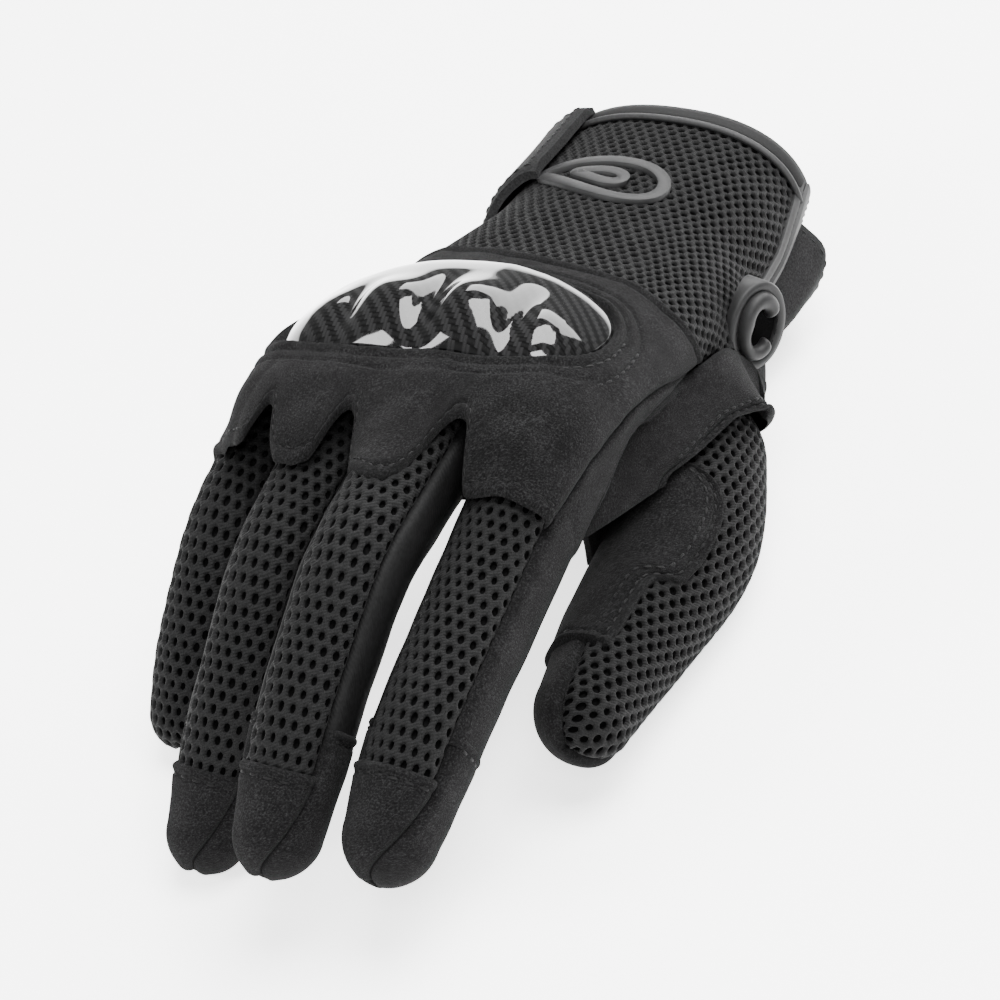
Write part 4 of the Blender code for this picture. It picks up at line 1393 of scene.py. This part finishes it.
def make_palm():
    u, v = palm_grid(np.arange(121.4, -14, -1.0), np.linspace(0, 1, 120))
    panel = Panel(PALM, u, v, 0.2, {"left": "seam", "right": "seam"}, 0.4, seed=14)
    piece = panel.build("palm_suede", ["suede", "lining"], "hand", "suede", gap=3.0)
    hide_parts("palm_panel")
    for name, rows, columns in (
        ("palm_heel_patch", (78, 38), (0.42, 0.78)), ("palm_finger_patch", (13, -1), (0.25, 0.92)),
    ):
        u, v = palm_grid(np.arange(*rows, -0.8), np.linspace(*columns, 60))
        edges = {side: "turned" for side in ("start", "end", "left", "right")}
        patch = Panel(PALM, u, v, 1.3, edges, 0.3, seed=15)
        piece = patch.build(name + "_suede", ["suede", "lining"], "hand", "suede", wall=1.2)
        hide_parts(name)
        lines = [patch.line(side, 2.3, 0.03, 0.97) for side in edges]
        stitches(name + "_stitches", lines, "hand")


# The slit from the hem to the ring: y, and how far round the hand
SLIT = (
    (60, 49.5), (66, 47.5), (72, 46.5), (80, 47.5), (92, 46.3), (100, 44), (110, 40), (121, 36.3),
    (130, 33),
)


def slit_at(y):
    return table_curve(SLIT, y)


def make_cuff_mesh():
    def suede_edge(b):
        return np.where(b < SIDE_SEAM, table_curve(CUFF_EDGE, b), 46 + 2.4 * (b - SIDE_SEAM))

    def to_skin(a, b, level):
        return HAND.point(a, b, level)

    def inside(a, b):
        low = suede_edge(b)
        on_cuff = (a < HEM_Y - HEM_WIDTH) & (a > low - 5.0)
        return on_cuff & (b > LITTLE_SIDE_SEAM - 1) & (b < slit_at(a))

    def tucked(a, b):
        """The mesh dips where it goes under the knuckle panel."""
        return -0.9 * smooth_step((suede_edge(b) - a) / 1.5)

    def squeeze(a, b):
        a = np.minimum(a, HEM_Y - HEM_WIDTH + 0.6)
        return a, np.minimum(b, slit_at(a) - 0.4)

    piece = air_mesh(
        "cuff_mesh", to_skin, inside, squeeze, tucked, "hand",
        window=((28, HEM_Y), (-64, 56)), stretch=(0.98, 0.95), hole_radius=0.86,
    )
    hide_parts("cuff_back_mesh")


# ---------------------------------------------------------------- the thumb

# Edges of the suede patch over the thumb's web: s, and degrees round the thumb
WEB_EDGE = (
    (40, 160), (41.5, 140), (43.5, 120), (47, 107), (52, 100), (62, 96), (68, 98), (70, 104),
    (71.5, 118), (75, 123), (88, 123), (91, 126), (93.5, 131),
)
WEB_FAR_EDGE = 236
WEB_SPLIT = 66  # s between the thumb's two bends
THUMB_BACK_EDGES = (12, 156)


def thumb_bodies(far):
    if far:
        stop = THUMB.stop_second
        ends = (stop - 7, stop + 7)
        bodies = ("thumb_base", "thumb_tip")
    else:
        stop = THUMB.stop_first
        ends = (stop - 9, stop + 9)
        bodies = ("hand", "thumb_base")
    start, end = (to_world(THUMB.on_line(np.array(float(s)))) for s in ends)
    return (*bodies, start, end)


def root_depth(s):
    """The thumb's skin runs in under the hand's at its root."""
    return 6.0 * smooth_step((26 - s) / 18)


class ThumbChart:
    """The thumb's own tube, joined smoothly to the hand on its outward side near the root."""

    def point(self, s, degrees, level):
        s, degrees, level = np.broadcast_arrays(
            *[np.asarray(a, float) for a in (s, degrees, level)]
        )
        own = THUMB.point(s, degrees, level)
        joined = THUMB_ROOT.point(np.minimum(s, THUMB.total - 2), degrees, level)
        share = smooth_step((70 - s) / 20) * smooth_step((150 - degrees) / 30)
        return own + (joined - own) * share[..., None]


def make_thumb():
    chart = ThumbChart()
    end = THUMB.total + THUMB.dome * math.pi / 2 - 0.02
    first_split = (THUMB.stop_first + THUMB.stop_second) / 2
    middle = sum(THUMB_BACK_EDGES) / 2
    stops = np.linspace(0, end, 60)
    spans = [chart.point(stop, np.linspace(*THUMB_BACK_EDGES, 60), 0) for stop in stops]
    widths = [np.linalg.norm(np.diff(span, axis=0), axis=1).sum() for span in spans]
    spread = math.radians(THUMB_BACK_EDGES[1] - THUMB_BACK_EDGES[0]) / 2

    def radius(s):
        return np.maximum(np.interp(s, stops, widths) / 2 / spread, 1.5)

    def to_skin(a, b, level):
        return chart.point(a, middle - np.degrees(b / radius(a)), level - root_depth(a))

    squeeze, edge_drop = mesh_sides(spread, radius, 1.2)
    parts = (
        ("thumb_base", 8.0, first_split, thumb_bodies(False), ("thumb_root", "thumb_base")),
        ("thumb_tip", first_split, end - 1.2, thumb_bodies(True), ("thumb_tip",)),
    )
    for name, s_from, s_to, holder, nodes in parts:
        def inside(a, b, s_from=s_from, s_to=s_to):
            return (a >= s_from) & (a < s_to) & (np.abs(b) < spread * radius(a) + 0.3)

        mesh = air_mesh(
            name + "_mesh", to_skin, inside, squeeze, edge_drop, holder,
            window=((s_from - 4, s_to + 4), (-40, 40)),
        )
        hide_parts(*[node + "_back" for node in nodes])
        s_end = s_to if name == "thumb_base" else end
        u, v = strip(s_from, s_end, THUMB_BACK_EDGES[1], THUMB_BACK_EDGES[0] + 360)
        panel = Panel(
            THUMB, u, v, 0.2 - root_depth(u), {"left": "seam", "right": "seam"}, 0.3, seed=21
        )
        palm = panel.build(name + "_suede", ["suede", "lining"], holder, "suede")
        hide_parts(*[node + "_palm" for node in nodes])
    make_web_patch(chart)


def make_web_patch(chart):
    s = np.arange(WEB_EDGE[0][0], WEB_EDGE[-1][0] + 0.1, 0.6)
    first = np.interp(s, *np.array(WEB_EDGE).T)
    smooth = np.convolve(np.pad(first, 2, mode="edge"), np.ones(5) / 5, mode="valid")
    u, v = rows_between(s, smooth, WEB_FAR_EDGE + 0 * smooth, np.linspace(0, 1, 70))
    panel = Panel(
        chart, u, v, 1.1, {"start": "turned", "end": "turned", "left": "turned", "right": "soft"},
        0.35, seed=22,
    )
    split = int(np.searchsorted(s, WEB_SPLIT))
    for name, part, holder, side in (
        ("web_patch", panel.part(0, split + 1), thumb_bodies(False), "start"),
        ("web_patch_tip", panel.part(split, len(s)), thumb_bodies(True), "end"),
    ):
        piece = part.build(name, ["suede", "lining"], holder, "suede", wall=1.3)
        if side == "start":
            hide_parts("thumb_web_patch")
        lines = [part.line("left", d, 0.02, 0.98) for d in (2.3, 4.6)]
        lines.append(part.line(side, 2.3, 0.03, 0.95))
        stitches(name + "_stitches", lines, holder, pitch=2.5, length=1.7)
    make_web_fold()


WEB_ON_HAND = ((30, 54), (20, 55), (10, 56), (2, 56), (-5, 55))
WEB_ON_THUMB = ((40, 190), (46, 205), (52, 212), (58, 216), (66, 218))


def make_web_fold():
    """The suede that stretches between the side of the hand and the thumb."""
    first = resampled(np.array([HAND.point(y, around, -0.8) for y, around in WEB_ON_HAND]), 60)
    last = resampled(np.array([THUMB.point(s, degrees, 0.2) for s, degrees in WEB_ON_THUMB]), 60)
    share = np.linspace(0, 1, 40)[None, :, None]
    root = np.array((-2.0, 9.0, -6.0)) * np.linspace(0.3, 1, 60)[:, None]
    control = (first + last) / 2 + root
    points = (
        first[:, None] * (1 - share) ** 2 + control[:, None] * 2 * share * (1 - share)
        + last[:, None] * share**2
    )
    out = outward(points, WEB_OUT)
    panel = FreeSheet(points, out, {"end": "soft"}, 0.3, seed=23)
    holder = ("hand", "thumb_base", tuple(to_world(first[30])), tuple(to_world(last[30])))
    panel.build("web_fold", ["suede", "lining"], holder, "suede", wall=1.4)


# ---------------------------------------------------------------- swept pieces


def swept(name, sections, materials, holder, closed=False, gap=None, sharp=50):
    """A body through sections, each an outline of points. closed joins the last to the first."""
    sections = np.asarray(sections, float)
    count, size = sections.shape[:2]
    points = to_world(sections.reshape(-1, 3))
    if gap is not None:
        points[:, 2] = np.maximum(points[:, 2], gap * MM)
    faces = []
    for i in range(count if closed else count - 1):
        a, b = i * size, (i + 1) % count * size
        for j in range(size):
            k = (j + 1) % size
            faces.append([a + j, a + k, b + k, b + j])
    if not closed:
        faces.append(list(range(size))[::-1])
        faces.append([(count - 1) * size + j for j in range(size)])
    along = np.linalg.norm(np.diff(sections[:, 0], axis=0), axis=1).cumsum()
    around = np.linalg.norm(np.diff(sections[0], axis=0), axis=1).cumsum()
    cloth = np.zeros((count, size, 3))
    cloth[1:, :, 0] = along[:, None]
    cloth[:, 1:, 1] = around
    piece = new_piece(name, points, faces, materials, cloth=cloth, sharp=sharp)
    return attach(piece, holder)


CIRCLE = np.linspace(0, 2 * math.pi, 12, endpoint=False)  # turns round a cord


def make_hem():
    """The neoprene band over the cuff's edge, and the raised piping below it."""
    y0 = HEM_Y - HEM_WIDTH
    outline = (
        (y0 - 0.3, -0.6), (y0 - 0.2, 0.7), (y0 + 0.6, 1.25), (y0 + 3, 1.45), (y0 + 5, 1.3),
        (y0 + 6.0, 0.4), (y0 + 6.3, -0.8), (y0 + 5.8, -2.0), (y0 + 4, -2.5), (y0 + 1, -2.4),
        (y0 - 0.2, -1.6),
    )
    total = girth(HEM_Y)
    middle_y = y0 + 3
    under_end = 62 - total  # the band starts where the piece under the slit ends
    parts = (
        ("hem_band", np.linspace(40.0 - total, 36.5, 190)),
        ("hem_band_under", np.linspace(38.0, 62, 30)),
    )
    for name, arounds in parts:
        sections = []
        for k, a in enumerate(arounds):
            sink = 0.0
            if a > 37 or a < under_end:
                sink = 3.4 * smooth_step((62 - (a if a > 0 else a + total)) / 14)
            size = 1.0
            if name == "hem_band":
                size = math.sin(min((len(arounds) - 1 - k) / 3 + 0.25, 1) * math.pi / 2)
                if a < under_end:
                    continue
            place = a if a > -62 else a + total
            sections.append(
                [
                    HAND.point(middle_y + (y - middle_y) * size, place, level * size - sink)
                    for y, level in outline
                ]
            )
        piece = swept(name, sections, ["neoprene"], "hand", gap=0.0)
        if name == "hem_band":
            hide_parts("hem_binding")
    sections = []
    for a in np.linspace(-42, 35.5, 120):
        y = HEM_Y - HEM_WIDTH - 1.6 - 1.2 * (a / 42.0) ** 4
        sections.append(
            [HAND.point(y + 0.85 * math.cos(t), a, 1.0 + 0.78 * math.sin(t)) for t in CIRCLE]
        )
    piece = swept("hem_cord", sections, ["piping"], "hand")
    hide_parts("hem_piping")


RING_AT = (66.0, 44.4)  # y, and how far round the hand
RING_HALF = (7.2, 9.6)
RING_LEAN = (-0.16, -0.56, 0.15)  # how the ring's face leans off the cuff
TAPE_END = 77.0
RING_STAND = 4.5  # from the skin to the ring's middle
RING_TOP = (-0.04, 0.33, 0.94)  # towards the top of the ring
LIP_ENDS = (-58, 238)  # the lip's two ends, in degrees round the ring from its top


def make_ring():
    """The rubber ring that ends the slit: a stitched flange and a rolled lip round a dark slot."""
    y0, a0 = RING_AT
    skin = HAND.point(y0, a0, 0.0)
    square = unit(HAND.point(y0, a0, 3.0) - skin)
    out = unit(square + np.array(RING_LEAN))
    centre = skin + out * RING_STAND
    along = unit(RING_TOP - out * (out @ RING_TOP))
    across = np.cross(out, along)

    def ring(outline, turns, scale=None):
        sections = []
        for k, t in enumerate(turns):
            ahead = along * math.cos(t) * RING_HALF[1] + across * math.sin(t) * RING_HALF[0]
            # The flange is deeper where the ring stands off the cuff
            deeper = max((centre + ahead - skin) @ square, 0) * 1.2 - 1.0
            reach = unit(ahead)
            size = scale(k) if scale else 1.0
            middle = np.mean(outline, axis=0)
            sections.append(
                [
                    centre + ahead + reach * (middle[0] + (r - middle[0]) * size)
                    + out * (middle[1] + (h - middle[1]) * size - (deeper if h < -2 else 0))
                    for r, h in outline
                ]
            )
        return sections

    turns = np.linspace(0, 2 * math.pi, 80, endpoint=False)
    flange = (
        (0.2, -2.2), (0.3, 0.5), (-0.1, 1.1), (-1.0, 1.25), (-1.9, 1.0), (-2.3, 0.5), (-2.6, -2.2),
    )
    piece = swept("ring_flange", ring(flange, turns), ["rubber"], "hand", closed=True)
    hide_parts("slit_ring")
    lip = [(-3.8 + 1.8 * math.cos(t), 1.1 + 1.9 * math.sin(t)) for t in CIRCLE]
    sweep = np.radians(np.linspace(*LIP_ENDS, 90))

    def swelling(k):
        from_end = min(k, 89 - k) / 5
        return math.sqrt(max(1 - (1 - min(from_end, 1)) ** 2, 0.02)) * (1 + 0.12 * math.sin(k / 14))

    swept("ring_lip", ring(lip, sweep, swelling), ["rubber"], "hand")
    floor = ((-2.0, -1.9), (-2.0, 0.2), (-6.6, -1.2), (-6.6, -1.9))
    swept("ring_floor", ring(floor, turns), ["lining"], "hand", closed=True)
    path = np.array(
        [
            centre + along * math.cos(t) * (RING_HALF[1] - 2.1)
            + across * math.sin(t) * (RING_HALF[0] - 2.1) + out * 0.95
            for t in turns
        ]
    )
    line = (path, np.repeat(out[None], len(path), axis=0))
    stitches("ring_stitches", [line], "hand", pitch=2.2, length=1.4, radius=0.22)


def make_slit_tape():
    """The tape along the slit from the hem to the ring, with a row of stitches on each edge."""
    y = np.linspace(HEM_Y - 2.0, TAPE_END, 60)
    across = np.linspace(-3.0, 3.0, 19)
    u = np.repeat(y[:, None], 19, axis=1)
    v = slit_at(y)[:, None] - 0.8 + across[None]

    def shape(y, around, _points):
        x = around - slit_at(y) + 0.8
        return 0.35 - 0.6 * bump(x, -0.9, 0.3) + 0.3 * smooth_step((x + 0.9) / 0.6)

    panel = Panel(HAND, u, v, 1.5, {"left": "soft", "right": "soft"}, 0.1, seed=31, shape=shape)
    piece = panel.build("slit_tape", ["piping", "lining"], "hand", "binding", wall=1.9)
    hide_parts("slit_binding")
    lines = [panel.line("left", 2.0, 0.03, 0.97), panel.line("right", 0.8, 0.03, 0.97)]
    stitches("slit_stitches", lines, "hand", pitch=2.2, length=1.4, radius=0.22)
    y = np.arange(HEM_Y - HEM_WIDTH, 61, -1.0)
    share = np.linspace(0, 1, 24)[None]
    v = slit_at(y)[:, None] + 0.8 + (58.0 - slit_at(y)[:, None]) * share
    sink = -3.2 * smooth_step((y[:, None] - 70) / 20) * (1 - share)
    side = Panel(
        HAND, np.repeat(y[:, None], 24, axis=1), v, 0.1 + sink, {}, 0.2, seed=32
    )
    piece = side.build("cuff_side_suede", ["suede", "lining"], "hand", "suede", gap=3.0)
    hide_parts("cuff_side_panel")


def make_badge():
    """A plain raised leaf outline of rubber on the cuff's mesh, with a smaller leaf in it."""

    def leaf(half_x, half_y, centre_x, centre_y, t):
        lean = 1 + 0.55 * np.cos(t)
        x = centre_x + half_x * np.cos(t)
        y = centre_y + half_y * np.sin(t) * lean - 0.18 * half_x * np.cos(t)
        return x, y

    turns = np.linspace(0, 2 * math.pi, 90, endpoint=False)
    outline = ((-1.5, 0.2), (-1.5, 1.3), (-1.35, 1.42), (1.35, 1.42), (1.5, 1.3), (1.5, 0.2))
    for name, size in (("badge_outline", (16.0, 7.2)), ("badge_leaf", (6.0, 2.2))):
        sections = []
        x, y = leaf(*size, -6.0, 88.0, turns)
        dx, dy = np.roll(x, -1) - np.roll(x, 1), np.roll(y, -1) - np.roll(y, 1)
        length = np.hypot(dx, dy)
        for xi, yi, nx, ny in zip(x, y, dy / length, -dx / length):
            sections.append([HAND.point(yi + ny * r, xi + nx * r, h) for r, h in outline])
        piece = swept(name, sections, ["rubber"], "hand", closed=True)
        if name == "badge_outline":
            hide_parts("cuff_badge")


# ---------------------------------------------------------------- the knuckle guard

# The guard's crest: x and its rise over the hand. Lobes: x and half width. Valleys: x, depth
# and half width
GUARD_CREST = ((-46, 5.5), (-34, 7.2), (-16, 8.4), (2.5, 9.0), (12, 8.0), (20, 6.8), (30, 4.5))
GUARD_LOBES = ((-34, 8), (-16, 8), (2.5, 8.5), (20, 7))
GUARD_VALLEYS = ((-25, 3.0, 3.4), (-7, 3.6, 3.8), (12, 3.4, 3.8))


def guard_height(x, y):
    share, _ = guard_share(x, y)
    share = np.clip(share, 0, 1)
    dome = np.sqrt(np.maximum(1 - share**2.8, 0))
    height = dome * table_curve(GUARD_CREST, x)
    for lobe_x, half in GUARD_LOBES:
        height = height + 1.5 * dome * np.exp(-(np.abs((x - lobe_x) / half) ** 3)) * bump(y, 2, 8)
    distal = smooth_step((15 - y) / 16)
    for valley_x, depth, half in GUARD_VALLEYS:
        height = height - depth * dome * distal * bump(x, valley_x, half)
    return height - 1.0


class GuardChart:
    """The guard's face over a square, both coordinates from -1 to 1."""

    def point(self, u, v, level):
        u, v, level = np.broadcast_arrays(*[np.asarray(a, float) for a in (u, v, level)])
        a = u * np.sqrt(1 - v * v / 2)
        b = v * np.sqrt(1 - u * u / 2)
        radius = np.hypot(a, b)
        angle = np.arctan2(b, a)
        power = 2 / GUARD_POWER
        p = signed_power(np.cos(angle), power) * GUARD_HALF[0] * radius
        q = signed_power(np.sin(angle), power) * GUARD_HALF[1] * radius
        x, y = guard_place(p, q)
        return np.stack([x, y, hand_top(x, y) + guard_height(x, y) + level], axis=-1)


def make_guard():
    chart = GuardChart()
    v, u = np.meshgrid(np.linspace(-1, 1, 120), np.linspace(-1, 1, 260), indexing="ij")
    panel = Panel(chart, u, v, 0.0, None, 0.0)
    top = chart.point(u, v, 0)
    panel.cloth = np.stack([top[..., 0] + 80, top[..., 1] + 80, 0 * u], axis=-1)
    piece = panel.build("guard_shell", ["carbon", "lining"], "hand", "carbon", wall=1.5)
    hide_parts("knuckle_guard")


# ---------------------------------------------------------------- the strap


def make_strap():
    total = girth(100.0)
    down = np.linspace(0, 1, 52)[:, None]

    def band(name, around, level, free_end, nodes, seed, holder="strap"):
        low = STRAP_RANGE[0] - 8 * smooth_step((72 - around) / 16) * (around > 0)
        y = STRAP_RANGE[1] + (low - STRAP_RANGE[1]) * down
        y = y + 5 * smooth_step((around + 50) / 28) * (around < 0)
        v = around + 0 * y
        edges = {"start": "soft", "end": "soft"}
        if free_end:
            edges["right"] = "soft"
        panel = Panel(PALM, y + 0 * v, v, level, edges, 0.12, seed=seed)
        piece = panel.build(name, ["strap", "hooks"], holder, "suede", wall=2.0, gap=0.0)
        if nodes:
            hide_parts(*nodes)
        lines = [panel.line(side, 2.4, 0.02, 0.98) for side in edges]
        stitches(name + "_stitches", lines, holder)

    first = slit_at(STRAP_RANGE[1] + (STRAP_RANGE[0] - 8 - STRAP_RANGE[1]) * down) + 3.0

    def level(around):
        """The strap is sewn under the slit's edge, and bows off the cuff before it goes under."""
        rise = smooth_step((around - first) / 7) * smooth_step((82 - around) / 24)
        return 1.0 + 3.4 * smooth_step((around - first) / 5) + 4.0 * rise

    around = first + (STRAP_HINGE - first) * np.linspace(0, 1, 16)[None]
    band("strap_anchor", around, level(around), False, (), 41, "hand")
    around = STRAP_HINGE + (total - 50.0 - STRAP_HINGE) * np.linspace(0, 1, 150)[None] + 0 * first
    band("strap_band", around, level(around), False, ("closure_strap",), 41)
    share = np.linspace(0, 1, 60)[None]
    around = -50.0 + 28.0 * share
    band("strap_tab", around, 4.4 + 0.5 * share, True, ("strap_pull_tab",), 42)


# ---------------------------------------------------------------- run

place_camera()
make_floor()
light_studio()
for finger in FINGERS:
    make_finger_skin(finger)
make_knuckle_panel()
make_gusset()
make_palm()
make_cuff_mesh()
make_thumb()
make_hem()
make_ring()
make_slit_tape()
make_badge()
make_guard()
make_strap()
for node, material in (("guard_foam", "lining"), ("loop_patch", "hooks"), ("hook_patch", "hooks")):
    frame["nodes"][node].data.materials.clear()
    frame["nodes"][node].data.materials.append(MATERIALS[material])
